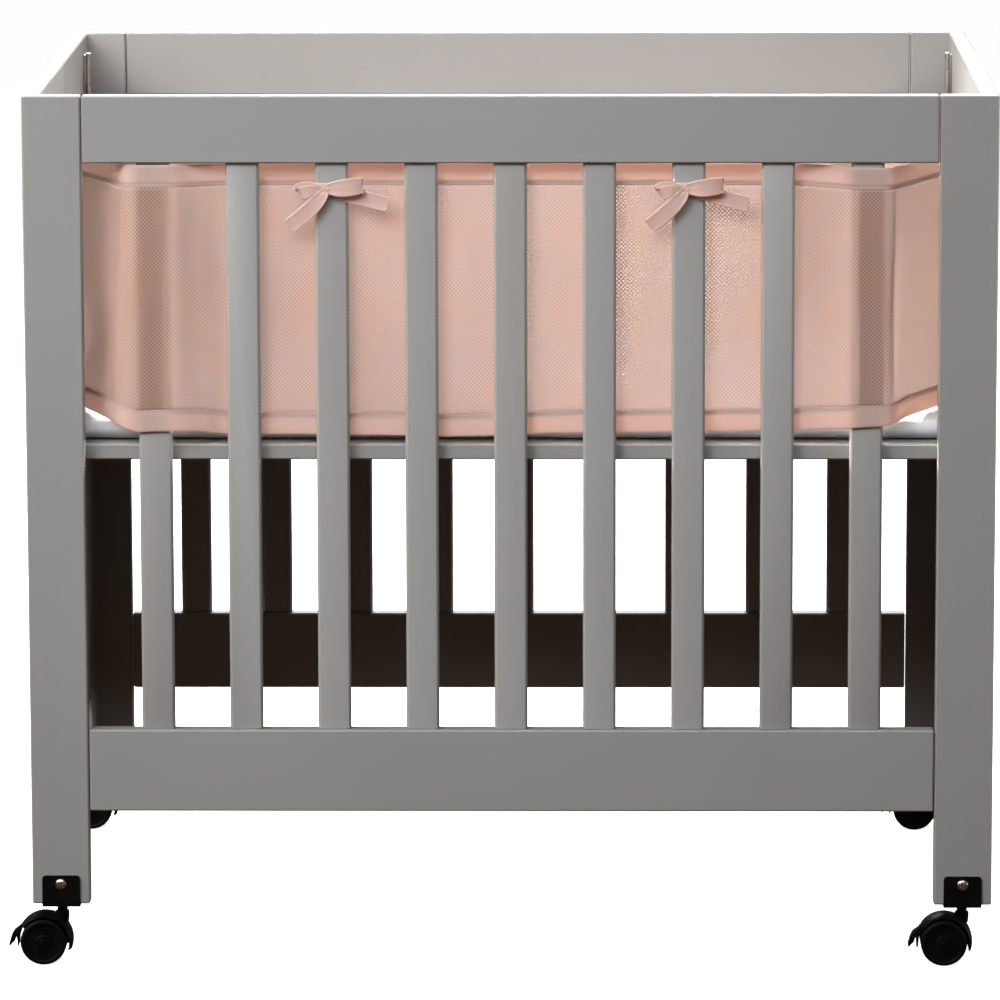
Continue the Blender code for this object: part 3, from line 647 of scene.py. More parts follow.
def hinge_shape(low, high, side):
    """A butt hinge in the space of its solid. side is -1 at the left end."""
    shape = bmesh.new()
    face = high.x if side > 0 else low.x
    near, far = sorted((face, face - side * HINGE_SHEET))
    line = (low.y + high.y) / 2
    ease = 0.4 * MM
    for first, last in ((low.y, line - ease), (line + ease, high.y)):
        add_box(shape, (near, first, low.z + MM), (far, last, high.z - MM), ease, 2)
    profile = [(0.0, low.z)]
    tall = (high.z - low.z) / KNUCKLES
    for i in range(KNUCKLES):
        foot, head = low.z + i * tall, low.z + (i + 1) * tall
        profile += [(BARREL - DIP, foot + DIP_FOOT), (BARREL, foot + DIP_HEAD)]
        profile += [(BARREL, head - DIP_HEAD), (BARREL - DIP, head - DIP_FOOT)]
    profile.append((0.0, high.z))
    middle = (low.x + high.x) / 2
    add_turned(shape, profile, 20, (middle, line, 0))
    seat = face - side * (HINGE_SHEET - 0.1 * MM)
    for along in (-SCREW_OFF, SCREW_OFF):
        for rise in (0.24, 0.76):
            place = (seat, line + along, low.z + rise * (high.z - low.z))
            absorb(shape, screw_shape(HINGE_SCREW, SCREW_DOME, place, (-side, 0, 0)))
    return shape


for word, side in (("left", -1), ("right", 1)):
    for end in ("front", "back"):
        node = f"hinge_{word}_{end}"
        shape = hinge_shape(*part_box(node), side)
        piece(f"hinge_{word}_{end}_knuckled", shape, zinc_plate, [node], merge=0)
print("hinges with", KNUCKLES, "knuckles each")

# %% [markdown]
# ## Cloth finishes
#
# Four cloths show. The liner is a warp-knitted mesh: round holes in a diamond layout, 4.25 mm
# from hole to hole along a row. The holes are three tenths of its area, and fine hairs fill most
# of each, so about a tenth is open. It is drawn on the cloth's own UV map, whose unit is the metre,
# and an open hole is see-through in the material, which keeps the sheet light. The bindings and
# the tape are close plain weaves, so fine that they are drawn at twice their size. The sheet on
# the pad is white percale with a soft, slightly cool tone.
# %% Light through cloth
def lit_through(tree, shader, passed, share):
    """Mixes a cloth's own shader with one that passes on the light from behind it. That light
    goes through the dye, so it comes out deeper in colour than what the face throws back."""
    behind = add_node(tree, "BsdfTranslucent", {"Color": linear(passed)})
    mixed = add_node(
        tree, "MixShader", {"Fac": share, 1: shader.outputs["BSDF"], 2: behind.outputs["BSDF"]}
    )
    tree.links.new(mixed.outputs["Shader"], tree.nodes["Material Output"].inputs["Surface"])
    return mixed.outputs["Shader"]


# %% Mesh
HOLE_PITCH = 4.25 * MM
HOLE_RADIUS, HOLE_BLUR = 0.31, 0.04  # shares of the distance between diagonal rows
SELVEDGE = 6 * MM  # the closed strip at each end of the length
HAIRS_SHARE = 0.7  # how much of a hole its fine hairs fill
MESH_CLOUD, WEAVE_CLOUD = 111 * MM, 26.3 * MM  # how wide the cloths' slow changes of tone are


def knitted_mesh(name, length):
    """Mesh with see-through holes, on a UV map in metres. The last bit at each end is closed."""
    made, tree, shader = start_material(name, Roughness=0.85)
    place = add_node(tree, "TexCoord").outputs["UV"]
    scale = math.sqrt(2) / HOLE_PITCH
    inputs = {"Vector": place, "Scale": (scale, scale, 1.0), "Rotation": (0, 0, math.pi / 4)}
    turned = add_node(tree, "Mapping", inputs).outputs["Vector"]
    cell = add_node(tree, "VectorMath", {0: turned}, operation="FRACTION").outputs["Vector"]
    flat = add_node(tree, "VectorMath", {0: cell, 1: (1.0, 1.0, 0.0)}, operation="MULTIPLY")
    centre = {0: flat.outputs["Vector"], 1: (0.5, 0.5, 0.0)}
    off = add_node(tree, "VectorMath", centre, operation="DISTANCE").outputs["Value"]
    rim = {"Value": off, "From Min": HOLE_RADIUS - HOLE_BLUR, "From Max": HOLE_RADIUS + HOLE_BLUR}
    yarn = add_node(tree, "MapRange", rim, interpolation_type="SMOOTHSTEP").outputs["Result"]
    along = add_node(tree, "SeparateXYZ", {"Vector": place}).outputs["X"]
    away = add_node(tree, "Math", {0: along, 1: length / 2}, operation="SUBTRACT")
    away = add_node(tree, "Math", {0: away.outputs["Value"]}, operation="ABSOLUTE")
    closed = {0: away.outputs["Value"], 1: length / 2 - SELVEDGE}
    closed = add_node(tree, "Math", closed, operation="GREATER_THAN").outputs["Value"]
    solid = add_node(tree, "Math", {0: yarn, 1: closed}, operation="MAXIMUM").outputs["Value"]
    body = add_node(tree, "TexCoord").outputs["Object"]
    slow = {"Vector": body, "Scale": 1 / MESH_CLOUD, "Detail": 2.0}
    cloud = add_node(tree, "TexNoise", slow).outputs["Fac"]
    toned(tree, shader.inputs["Base Color"], cloud, 0.3, 0.7, "#E2BAA6", "#E8C5B4")
    bump = add_node(tree, "Bump", {"Height": off, "Strength": 0.4, "Distance": 0.4 * MM})
    tree.links.new(bump.outputs["Normal"], shader.inputs["Normal"])
    yarns = lit_through(tree, shader, "#A08C82", 0.4)
    open_air = add_node(tree, "BsdfTransparent").outputs["BSDF"]
    hairs = add_node(tree, "BsdfTranslucent", {"Color": linear("#BDB1AA")}).outputs["BSDF"]
    hole = add_node(tree, "MixShader", {"Fac": HAIRS_SHARE, 1: open_air, 2: hairs})
    cloth = add_node(tree, "MixShader", {"Fac": solid, 1: hole.outputs["Shader"], 2: yarns})
    tree.links.new(cloth.outputs["Shader"], tree.nodes["Material Output"].inputs["Surface"])
    return made


# %% Plain weaves
def plain_weave(name, deep, light, passed, share_passed, pitch, relief, rough, sheen):
    """A close plain weave on a UV map in metres. pitch is from thread to thread as drawn."""
    made, tree, shader = start_material(
        name, Roughness=rough, Sheen_Weight=sheen, Sheen_Roughness=0.4
    )
    place = add_node(tree, "TexCoord").outputs["UV"]
    turns = math.tau / pitch
    wound = add_node(tree, "VectorMath", {0: place, 1: (turns, turns, 0.0)}, operation="MULTIPLY")
    waves = add_node(tree, "VectorMath", {0: wound.outputs["Vector"]}, operation="SINE")
    parts = add_node(tree, "SeparateXYZ", {"Vector": waves.outputs["Vector"]})
    crossed = {0: parts.outputs["X"], 1: parts.outputs["Y"]}
    weave = add_node(tree, "Math", crossed, operation="MULTIPLY").outputs["Value"]
    body = add_node(tree, "TexCoord").outputs["Object"]
    slow = {"Vector": body, "Scale": 1 / WEAVE_CLOUD, "Detail": 3.0}
    cloud = add_node(tree, "TexNoise", slow).outputs["Fac"]
    tone = add_node(tree, "Math", {0: weave, 1: 0.12, 2: cloud}, operation="MULTIPLY_ADD")
    tone = tone.outputs["Value"]
    colour = toned(tree, shader.inputs["Base Color"], tone, 0.3, 0.7, deep, light)
    bump = add_node(tree, "Bump", {"Height": weave, "Strength": 0.4, "Distance": relief})
    tree.links.new(bump.outputs["Normal"], shader.inputs["Normal"])
    lit_through(tree, shader, passed, share_passed)
    return made, tree, shader, place, colour


STITCH_SHARE = 0.72  # how much of the pitch of a seam its thread is on top


def stitched(weave_parts, line, width, pitch, thread):
    """Adds a row of stitches at a distance from the edge where the UV map's V is zero."""
    made, tree, shader, place, colour = weave_parts
    parts = add_node(tree, "SeparateXYZ", {"Vector": place})
    off = add_node(tree, "Math", {0: parts.outputs["Y"], 1: line}, operation="SUBTRACT")
    off = add_node(tree, "Math", {0: off.outputs["Value"]}, operation="ABSOLUTE")
    fade = {"Value": off.outputs["Value"], "From Min": width / 2, "From Max": width}
    fade.update({"To Min": 1.0, "To Max": 0.0})
    near = add_node(tree, "MapRange", fade).outputs["Result"]
    count = add_node(tree, "Math", {0: parts.outputs["X"], 1: 1 / pitch}, operation="MULTIPLY")
    dash = add_node(tree, "Math", {0: count.outputs["Value"]}, operation="FRACT")
    dash = {0: dash.outputs["Value"], 1: STITCH_SHARE}
    dash = add_node(tree, "Math", dash, operation="LESS_THAN").outputs["Value"]
    shown = add_node(tree, "Math", {0: near, 1: dash}, operation="MULTIPLY").outputs["Value"]
    tones = {"Factor": shown, "A": colour, "B": linear(thread)}
    mixed = add_node(tree, "Mix", tones, data_type="RGBA").outputs["Result"]
    tree.links.new(mixed, shader.inputs["Base Color"])
    return made


# %% [markdown]
# ## The liner's course
#
# The liner hangs on the inside of all four sides. It lies behind the front slats, comes forward to
# the post beside them, turns in a soft bend and leaves each corner on a slant, so the corners
# stand empty. Its course is a table of stops, each with the place of the cloth's foot, the heights
# of its two edges, how far it bellies towards the child and how far its head leans in. A smooth
# curve through the stops gives as many sections as the cloth needs.
# %% The liner's stops
Stop = namedtuple("Stop", "x depth foot head belly lean")
CENTRE_SHIFT = 13.05 * MM  # from the crib's middle to the middle of the whole outline
FRONT = -0.334  # the crib's front face
STOPS = [  # in millimetres, from the lap at the back round by the left end
    (26.0, 649.0, 566.5, 837.5, 0.0, 0.0),
    (-46.0, 648.8, 566.5, 837.5, 1.0, 0.0),
    (-183.0, 648.8, 566.2, 837.8, 0.0, 0.0),
    (-320.0, 648.2, 566.8, 837.6, 2.0, 0.0),
    (-388.0, 645.5, 570.0, 837.6, 3.0, 0.0),
    (-428.0, 628.0, 574.0, 839.0, 4.0, 0.0),
    (-456.0, 594.0, 573.8, 841.0, 5.0, 0.0),
    (-472.0, 548.0, 573.6, 843.0, 4.0, 0.0),
    (-478.0, 480.0, 573.5, 844.5, 3.0, 0.0),
    (-477.0, 390.0, 573.8, 845.2, 5.0, 0.0),
    (-478.2, 300.0, 573.5, 845.0, 2.0, 0.0),
    (-477.2, 225.0, 573.6, 844.5, 4.0, 0.0),
    (-472.5, 164.0, 574.0, 843.5, 4.0, 0.0),
    (-462.0, 123.0, 574.5, 841.8, 2.0, 0.0),
    (-450.0, 98.5, 574.2, 840.8, 1.0, 0.0),
    (-443.7, 85.0, 574.0, 840.2, 10.0, 0.7),
    (-430.6, 55.5, 573.8, 839.2, 7.0, 5.0),
    (-418.0, 30.0, 572.8, 838.4, 2.0, 7.8),
    (-408.5, 13.5, 570.0, 838.0, 0.0, 8.4),
    (-396.5, 4.2, 565.6, 838.0, 0.0, 3.1),
    (-383.5, 2.0, 561.8, 838.2, 0.0, 0.0),
    (-365.6, 1.8, 562.4, 838.2, 0.0, 0.0),
    (-344.0, 2.1, 562.7, 838.2, 0.0, 0.0),
    (-320.0, 10.0, 561.2, 838.0, 1.0, 0.0),
    (-296.0, 19.0, 557.2, 838.0, 0.0, 0.0),
    (-274.2, 19.6, 556.2, 838.0, 0.0, 0.0),
    (-228.5, 22.2, 556.6, 837.8, 1.0, 0.0),
    (-182.8, 19.6, 556.0, 838.0, 0.0, 0.0),
    (-137.1, 21.6, 555.5, 837.8, 0.0, 0.0),
    (-91.4, 19.8, 554.8, 838.0, 0.0, 0.0),
    (-45.7, 22.8, 554.1, 837.6, 1.2, 0.0),
    (0.0, 19.6, 556.0, 838.0, 0.0, 0.0),
    (45.7, 21.6, 557.8, 838.0, 0.6, 0.0),
    (91.4, 19.8, 558.2, 838.0, 0.0, 0.0),
    (137.1, 22.2, 558.6, 837.8, 0.8, 0.0),
    (182.8, 19.6, 559.0, 838.0, 0.0, 0.0),
    (228.5, 22.6, 559.4, 837.4, 1.0, 0.0),
    (274.2, 19.6, 560.4, 837.8, 0.0, 0.0),
    (296.0, 19.0, 561.5, 837.8, 0.0, 0.0),
    (320.0, 10.0, 563.8, 837.2, 1.0, 0.0),
    (344.0, 2.1, 565.5, 836.0, 0.0, 0.0),
    (365.6, 1.8, 566.8, 835.2, 0.0, 0.0),
    (386.0, 2.6, 567.8, 835.2, 0.0, 0.0),
    (396.5, 11.0, 570.5, 835.8, 0.0, 0.0),
    (407.5, 29.0, 573.6, 836.3, 1.0, 0.0),
    (424.0, 60.0, 574.0, 836.7, 3.0, 0.0),
    (442.5, 95.2, 574.2, 837.0, 4.0, 0.0),
    (458.5, 132.0, 574.2, 838.5, 4.0, 0.0),
    (471.2, 178.0, 574.0, 841.0, 3.0, 0.0),
    (477.4, 245.0, 573.6, 843.2, 4.0, 0.0),
    (478.2, 330.0, 573.5, 845.0, 2.0, 0.0),
    (477.0, 420.0, 573.8, 845.2, 5.0, 0.0),
    (478.0, 495.0, 573.5, 844.4, 3.0, 0.0),
    (472.0, 552.0, 573.6, 843.0, 4.0, 0.0),
    (456.0, 596.0, 573.8, 841.0, 5.0, 0.0),
    (428.0, 628.5, 574.0, 839.0, 4.0, 0.0),
    (388.0, 645.5, 570.0, 837.6, 3.0, 0.0),
    (320.0, 648.0, 566.8, 837.6, 2.0, 0.0),
    (183.0, 648.6, 566.2, 837.8, 0.0, 0.0),
    (60.0, 648.0, 566.5, 837.6, 0.0, 0.0),
    (30.0, 644.8, 566.5, 837.5, 0.0, 0.0),
    (-26.0, 644.5, 566.5, 837.5, 0.0, 0.0),
]
LINER = [Stop(*(value * MM for value in row)) for row in STOPS]
print("liner stops", len(LINER))


# %% Sections of the liner
def between(a, b, c, d, share):
    """The value at a share of the way from b to c, on a smooth curve through all four."""
    return 0.5 * (
        2 * b
        + (c - a) * share
        + (2 * a - 5 * b + 4 * c - d) * share**2
        + (3 * b - a - 3 * c + d) * share**3
    )


def smoothed(rows, steps):
    """Rows of numbers with more rows between them, on a smooth curve."""
    ends = [rows[0], *rows, rows[-1]]
    made = []
    for i in range(len(rows) - 1):
        for step in range(steps):
            values = zip(*ends[i : i + 4])
            made.append(type(rows[0])(*(between(*four, step / steps) for four in values)))
    return made + [rows[-1]]


LINER_STEPS = 6
Section = namedtuple("Section", "row inward along")
sections, travelled = [], 0.0
rows = smoothed(LINER, LINER_STEPS)
for i, row in enumerate(rows):
    before, after = rows[max(i - 1, 0)], rows[min(i + 1, len(rows) - 1)]
    heading = Vector((after.x - before.x, after.depth - before.depth, 0)).normalized()
    if i:
        travelled += math.hypot(row.x - before.x, row.depth - before.depth)
    sections.append(Section(row, Vector((-heading.y, heading.x, 0)), travelled))
LINER_LENGTH = travelled
print("liner length", round(LINER_LENGTH, 3), "m in", len(sections), "sections")

# %% [markdown]
# ## Creases
#
# A strip that is pulled tight between ties doesn't hang flat. Shallow folds run down from each
# tie, short ones pucker the bends at the corners, and the foot ripples where it rests. Each crease
# is listed: where it starts and ends along the cloth and up it, how wide it is, and how far
# it stands in or out. Its section is a soft bell, so it fades into the cloth on all sides.
# %% Creases
Crease = namedtuple("Crease", "start foot end head width depth")
FRONT_DEPTH, END_FROM = 0.12, 0.40  # the front reaches this far back, an end starts this far out


def at_front(x):
    """How far along the liner its front passes an X, measured from the crib's middle."""
    front = [s for s in sections if s.row.depth < FRONT_DEPTH]
    return min(front, key=lambda s: abs(s.row.x - x)).along


def at_end(side, depth):
    """How far along the liner it passes a depth on one end."""
    there = [s for s in sections if s.row.x * side > END_FROM]
    return min(there, key=lambda s: abs(s.row.depth - depth)).along


FRONT_CREASES = [  # X at its start, foot, X at its end, head, width and depth, in millimetres
    (-402, 600, -395, 800, 7, 1.6),
    (-378, 590, -374, 700, 10, -1),
    (-330, 700, -322, 825, 12, 1.4),
    (-310, 575, -300, 690, 14, -1.6),
    (-245, 640, -208, 828, 12, 1.6),
    (-180, 600, -195, 780, 18, -1.4),
    (-120, 560, -150, 760, 20, 1.8),
    (-55, 570, -48, 700, 16, -1.4),
    (30, 690, 22, 820, 20, 1.2),
    (62, 560, 52, 680, 14, -1.4),
    (120, 640, 160, 826, 13, 1.6),
    (235, 800, 250, 827, 4, -1.2),
    (222, 580, 205, 780, 16, 1.4),
    (300, 590, 296, 720, 12, -1.4),
    (345, 640, 352, 815, 12, 1.2),
    (392, 600, 398, 790, 8, 1.8),
]
END_CREASES = [  # the side, and then the same with the depth in place of X
    (-1, 200, 590, 240, 790, 22, 3),
    (-1, 350, 640, 330, 820, 24, -2),
    (-1, 520, 600, 490, 800, 20, 2.6),
    (1, 210, 600, 190, 800, 20, 2.4),
    (1, 370, 590, 400, 760, 26, -1.8),
    (1, 530, 620, 500, 820, 20, 2.8),
]
CREASES = []
for row in FRONT_CREASES:
    start, foot, end, head, width, depth = (value * MM for value in row)
    CREASES.append(Crease(at_front(start), foot, at_front(end), head, width, depth))
for side, *row in END_CREASES:
    start, foot, end, head, width, depth = (value * MM for value in row)
    CREASES.append(Crease(at_end(side, start), foot, at_end(side, end), head, width, depth))
CREASES += [  # at the back, on both sides of the lap
    Crease(0.120, 0.600, 0.170, 0.815, 0.016, 0.0014),
    Crease(0.300, 0.590, 0.270, 0.780, 0.018, 0.0016),
    Crease(LINER_LENGTH - 0.120, 0.600, LINER_LENGTH - 0.175, 0.820, 0.016, 0.0014),
    Crease(LINER_LENGTH - 0.330, 0.620, LINER_LENGTH - 0.290, 0.800, 0.020, 0.0016),
]
BELLY_FROM, BELLY_TO = 0.085, 0.530  # shares of the liner's height


def swell(share):
    """How much of its belly the cloth has at a share of its height."""
    if not BELLY_FROM < share < BELLY_TO:
        return 0.0
    return math.sin(math.pi * (share - BELLY_FROM) / (BELLY_TO - BELLY_FROM)) ** 2


def creased(along, height):
    """How far the creases move the cloth in or out at one point of it."""
    moved = 0.0
    for fold in CREASES:
        line = Vector((fold.end - fold.start, fold.head - fold.foot))
        off = Vector((along - fold.start, height - fold.foot))
        share = min(max(off.dot(line) / line.length_squared, 0.0), 1.0)
        gap = (off - line * share).length / fold.width
        if gap < 3:
            moved += fold.depth * math.exp(-gap * gap) * (0.35 + 0.65 * math.sin(math.pi * share))
    return moved


def cloth_point(section, height):
    """The middle of the cloth at one section and height, with lean, belly and creases."""
    row = section.row
    share = (height - row.foot) / (row.head - row.foot)
    held = math.sin(math.pi * min(max(share, 0.0), 1.0)) ** 0.5
    out = row.lean * share + row.belly * swell(share) + creased(section.along, height) * held
    return Vector((row.x + CENTRE_SHIFT, FRONT + row.depth, height)) + section.inward * out


print("creases", len(CREASES))

# %% [markdown]
# ## The mesh
#
# The mesh itself is an open grid of the liner's sections and 26 heights. Its upper and lower edges
# end inside the bindings, where they are sewn, so no slit can show. Solidify then gives the sheet
# its thickness. The UV map is laid out in metres along and up the cloth, and the holes follow it.
# %% The mesh
TOP_BINDING, BOTTOM_BINDING, SEWN_IN = 22.6 * MM, 22.5 * MM, 5 * MM
MESH_LEVELS = 26
MESH_SHEET = 0.7 * MM


def unwrapped(shape, places):
    """Writes each point's place on the flat cloth to a UV map, in metres."""
    layer = shape.loops.layers.uv.new("flat")
    for face in shape.faces:
        for loop in face.loops:
            loop[layer].uv = places[loop.vert]


shape, places, columns = bmesh.new(), {}, []
for section in sections:
    low = section.row.foot + BOTTOM_BINDING - SEWN_IN
    high = section.row.head - TOP_BINDING + SEWN_IN
    column = []
    for i in range(MESH_LEVELS):
        height = low + (high - low) * i / (MESH_LEVELS - 1)
        vert = shape.verts.new(cloth_point(section, height))
        places[vert] = (section.along, height)
        column.append(vert)
    columns.append(column)
for left, right in zip(columns, columns[1:]):
    for i in range(MESH_LEVELS - 1):
        shape.faces.new((left[i], right[i], right[i + 1], left[i + 1]))
unwrapped(shape, places)
mesh_cloth = knitted_mesh("warp_knitted_mesh", LINER_LENGTH)
net = piece("liner_net", shape, mesh_cloth, ["liner_mesh"], 60.0, merge=0)
body = net.modifiers.new("thickness", "SOLIDIFY")
body.thickness, body.offset, body.use_even_offset = MESH_SHEET, 0.0, True
print("mesh", len(columns), "x", MESH_LEVELS, "points")

# %% [markdown]
# ## Bindings
#
# A binding is a strip folded round the mesh's edge and sewn through. So its outer edge is a round
# fold, its middle is slightly full and the row of stitches pulls a groove near its inner edge,
# with small puckers between the stitches. Its section is a flat ring of points, swept along the
# liner, and the puckers change it a little from place to place.
# %% Bindings
BINDING_SECTION = [  # share of the width from the fold, and half the thickness in millimetres
    (0.000, 0.35),
    (0.018, 0.80),
    (0.060, 1.15),
    (0.160, 1.30),
    (0.330, 1.22),
    (0.500, 1.12),
    (0.660, 1.16),
    (0.780, 1.10),
    (0.860, 0.72),
    (0.895, 0.62),
    (0.930, 0.74),
    (0.975, 0.78),
    (1.000, 0.50),
]


def joined_rings(shape, rings, closed=False):
    """Faces between rings of points, and over both ends unless the rings close."""
    following = rings[1:] + (rings[:1] if closed else [])
    for near, far in zip(rings, following):
        for i in range(len(near)):
            after = (i + 1) % len(near)
            shape.faces.new((near[i], near[after], far[after], far[i]))
    if not closed:
        shape.faces.new(rings[0])
        shape.faces.new(rings[-1])


PUCKER, SWAY, RIPPLE = 0.3 * MM, 0.4 * MM, 0.3 * MM  # how far seam, strip and fold move
SEAM_SHARE, SEAM_REACH, FULLNESS = 0.80, 0.14, 0.16  # shares of the width, and of the thickness
RUCK_PACE, SLOW_PACE = 62, 14  # how often, per metre, the seam and the whole strip change


def binding(name, node, width, at_top, material):
    """A folded and stitched strip along the liner's head or foot."""
    shape, places, rings = bmesh.new(), {}, []
    for section in sections:
        along = section.along
        edge = section.row.head if at_top else section.row.foot
        into = -1 if at_top else 1
        ruck = noise.noise(Vector((along * RUCK_PACE, 0, 7 if at_top else 3)))
        slow = noise.noise(Vector((along * SLOW_PACE, 5, 1 if at_top else 9)))
        ring = []
        for face in (1, -1):
            for share, half in BINDING_SECTION[::face]:
                centre = cloth_point(section, edge + into * share * width)
                pull = PUCKER * ruck * math.exp(-(((share - SEAM_SHARE) / SEAM_REACH) ** 2))
                fill = 1 + FULLNESS * slow * math.sin(math.pi * share)
                sway = SWAY * slow + pull
                point = centre + section.inward * (face * (half * MM * fill) + sway)
                point.z += RIPPLE * slow * (1 - share) * into
                vert = shape.verts.new(point)
                places[vert] = (along, share * width)
                ring.append(vert)
        rings.append(ring)
    joined_rings(shape, rings)
    unwrapped(shape, places)
    return piece(name, shape, material, [node], 60.0, merge=0)


binding_weave = plain_weave(
    "folded_cotton_binding", "#DDC8BE", "#E3D0C7", "#DABDB0", 0.45, 1.1 * MM, 0.06 * MM, 0.72, 0.35
)
seam_line = 0.895 * TOP_BINDING  # in the groove of the section
binding_cloth = stitched(binding_weave, seam_line, 0.5 * MM, 3.2 * MM, "#F1E0D8")
top_binding = binding("top_binding", "liner_top_binding", TOP_BINDING, True, binding_cloth)
foot_binding = binding(
    "foot_binding", "liner_bottom_binding", BOTTOM_BINDING, False, binding_cloth
)
print("bindings", len(sections), "rings of", 2 * len(BINDING_SECTION))

# %% [markdown]
# ## Ties
#
# Each tie is one flat tape, sewn to the binding, passed round a slat and tied in a bow with two
# loops and two tails. A tape bends along its length and hardly across it, so each stretch is a
# ribbon swept through stations that give its middle, half its width and its lean. The tape's
# edges are overlocked, which makes a thin raised bead, and each tail ends in a hem that is
# folded and sewn three times across. Near the knot the tape is gathered into small folds.
# %% Tape
Station = namedtuple("Station", "x y z half lean")
TAPE = 0.9 * MM
TAPE_HALF = 8.0 * MM
ACROSS = (-1.0, -0.94, -0.84, -0.55, -0.28, 0.0, 0.28, 0.55, 0.84, 0.94, 1.0)
LEFT_LOOP = [  # the knot's middle is the origin, and +y is towards the slat
    (1.0, -1.4, 0.0, 3.6, 0),
    (-6.0, -3.4, 0.0, 5.0, -6),
    (-14.0, -5.4, -1.0, 6.4, -18),
    (-22.0, -5.4, -3.0, 6.8, -30),
    (-26.4, -2.8, -3.2, 6.8, -37),
    (-26.6, -0.2, -0.6, 6.8, -35),
    (-19.0, 0.8, 2.0, 6.4, -20),
    (-10.0, 1.2, 1.6, 5.2, -8),
    (1.0, 1.0, 0.0, 3.6, 0),
]
RIGHT_LOOP = [
    (-1.0, -1.4, 0.2, 3.8, 0),
    (7.0, -3.4, 1.2, 6.8, -4),
    (17.0, -5.6, 2.0, 8.8, -6),
    (29.0, -5.8, 3.6, 9.0, -2),
    (37.4, -4.0, 4.6, 8.2, 2),
    (37.8, -1.6, 4.0, 7.8, 4),
    (30.0, -0.2, 2.4, 7.4, 4),
    (16.0, 0.4, 0.6, 6.2, 4),
    (-1.0, 1.0, 0.0, 3.6, 0),
]
LEFT_TAIL = [
    (1.0, -2.6, -1.0, 4.2, 70),
    (-4.0, -4.6, -7.6, 6.8, 112),
    (-12.0, -5.0, -16.6, 7.9, 132),
    (-24.0, -3.8, -27.6, 8.1, 138),
    (-36.4, -1.2, -37.9, 8.1, 138),
]
RIGHT_TAIL = [
    (-1.0, 2.8, -1.2, 3.6, 4),
    (12.0, 3.0, -3.2, 5.8, 8),
    (26.0, 3.0, -6.6, 7.4, 12),
    (45.0, 2.4, -10.8, 8.0, 16),
    (64.8, 0.6, -15.5, 8.0, 19),
]
HEM, HEM_GROOVES = 9.5 * MM, (1.6 * MM, 4.6 * MM, 7.8 * MM)
GATHER, GATHER_REACH = 0.55 * MM, 10 * MM  # the small folds near the knot
CUP = 0.2 * MM  # how far the tape's edges stand off its middle


def beaded(t, bead, flat):
    """The share of its thickness that tape has at a place across it, from -1 to 1."""
    if abs(t) > 0.99:
        return 0.55
    return bead if abs(t) > 0.8 else flat


def ribbon(shape, places, table, is_tail):
    """A closed length of tape through its stations, with beaded edges and gathers."""
    stations = smoothed([Station(*row) for row in table], 7)
    middles = [Vector((s.x, s.y, s.z)) * MM for s in stations]
    run = [0.0]
    for a, b in zip(middles, middles[1:]):
        run.append(run[-1] + (b - a).length)
    rings = []
    for i, here in enumerate(stations):
        heading = middles[min(i + 1, len(middles) - 1)] - middles[max(i - 1, 0)]
        lean = math.radians(here.lean)
        across = Vector((math.sin(lean), 0, math.cos(lean)))
        out = heading.cross(across).normalized()
        across = out.cross(heading).normalized()
        half = here.half * MM
        from_knot = run[i] if is_tail else min(run[i], run[-1] - run[i])
        gather = GATHER * math.exp(-((from_knot / GATHER_REACH) ** 2))
        from_tip = run[-1] - run[i] if is_tail else 1.0
        body = TAPE / 2
        if from_tip < HEM:
            body *= 1.45 - 0.55 * max(
                math.exp(-(((from_tip - g) / (0.5 * MM)) ** 2)) for g in HEM_GROOVES
            )
        ring = []
        for face in (1, -1):
            for t in ACROSS[::face]:
                fold = gather * math.cos(2.6 * math.pi * t) + CUP * t * t
                off = face * body * beaded(t, 1.35, 0.8) + fold
                point = middles[i] + across * (half * t) + out * off
                vert = shape.verts.new(point)
                places[vert] = (run[i], TAPE_HALF * t)
                ring.append(vert)
        rings.append(ring)
    joined_rings(shape, rings)


# %% [markdown]
# ## Knots and bands
#
# The knot is the same tape wrapped once round the middle of the bow, and the band is the tape on
# its way round the slat. Both are closed loops of ribbon. The knot's loop is small and upright,
# with its folds running round it, and the band's loop is a rectangle with round corners that
# clears the slat by half a millimetre.
# %% Knots and bands
SLAT_HALF, SLAT_THICKNESS, SLAT_RECESS = 17 * MM, 11 * MM, 5 * MM
SLAT_PITCH, KNOT_STANDOFF, KNOT_HEIGHT = 91.4 * MM, 4 * MM, 0.813
TIED_SLATS = (("left", -2, 6.7 * MM), ("right", 2, 4.2 * MM))  # slats counted from the middle


def looped(shape, places, path, across_of, half_of, folds):
    """A closed loop of tape. path is its points, and across_of and half_of follow them."""
    count, rings, run = len(path), [], 0.0
    for i, middle in enumerate(path):
        heading = path[(i + 1) % count] - path[i - 1]
        across = across_of(i / count)
        out = heading.cross(across).normalized()
        half = half_of(i / count)
        ring = []
        for face in (1, -1):
            for t in ACROSS[::face]:
                fold = folds * math.cos(3.4 * math.pi * t + 0.6 * math.sin(math.tau * i / count))
                off = face * TAPE / 2 * beaded(t, 1.25, 0.85) + fold
                point = middle + across * (half * t) + out * off
                vert = shape.verts.new(point)
                places[vert] = (run, TAPE_HALF * t)
                ring.append(vert)
        rings.append(ring)
        run += (path[(i + 1) % count] - middle).length
    joined_rings(shape, rings, closed=True)


def knot(shape, places):
    """The wrap round the middle of the bow."""
    turns = [math.tau * i / 28 for i in range(28)]
    path = [Vector((0, -3.1 * math.cos(a), 4.6 * math.sin(a))) * MM for a in turns]
    looped(
        shape,
        places,
        path,
        lambda share: Vector((1, 0, 0.10 * math.sin(math.tau * share))).normalized(),
        lambda share: (3.5 + 0.35 * math.cos(math.tau * share * 2)) * MM,
        0.32 * MM,
    )


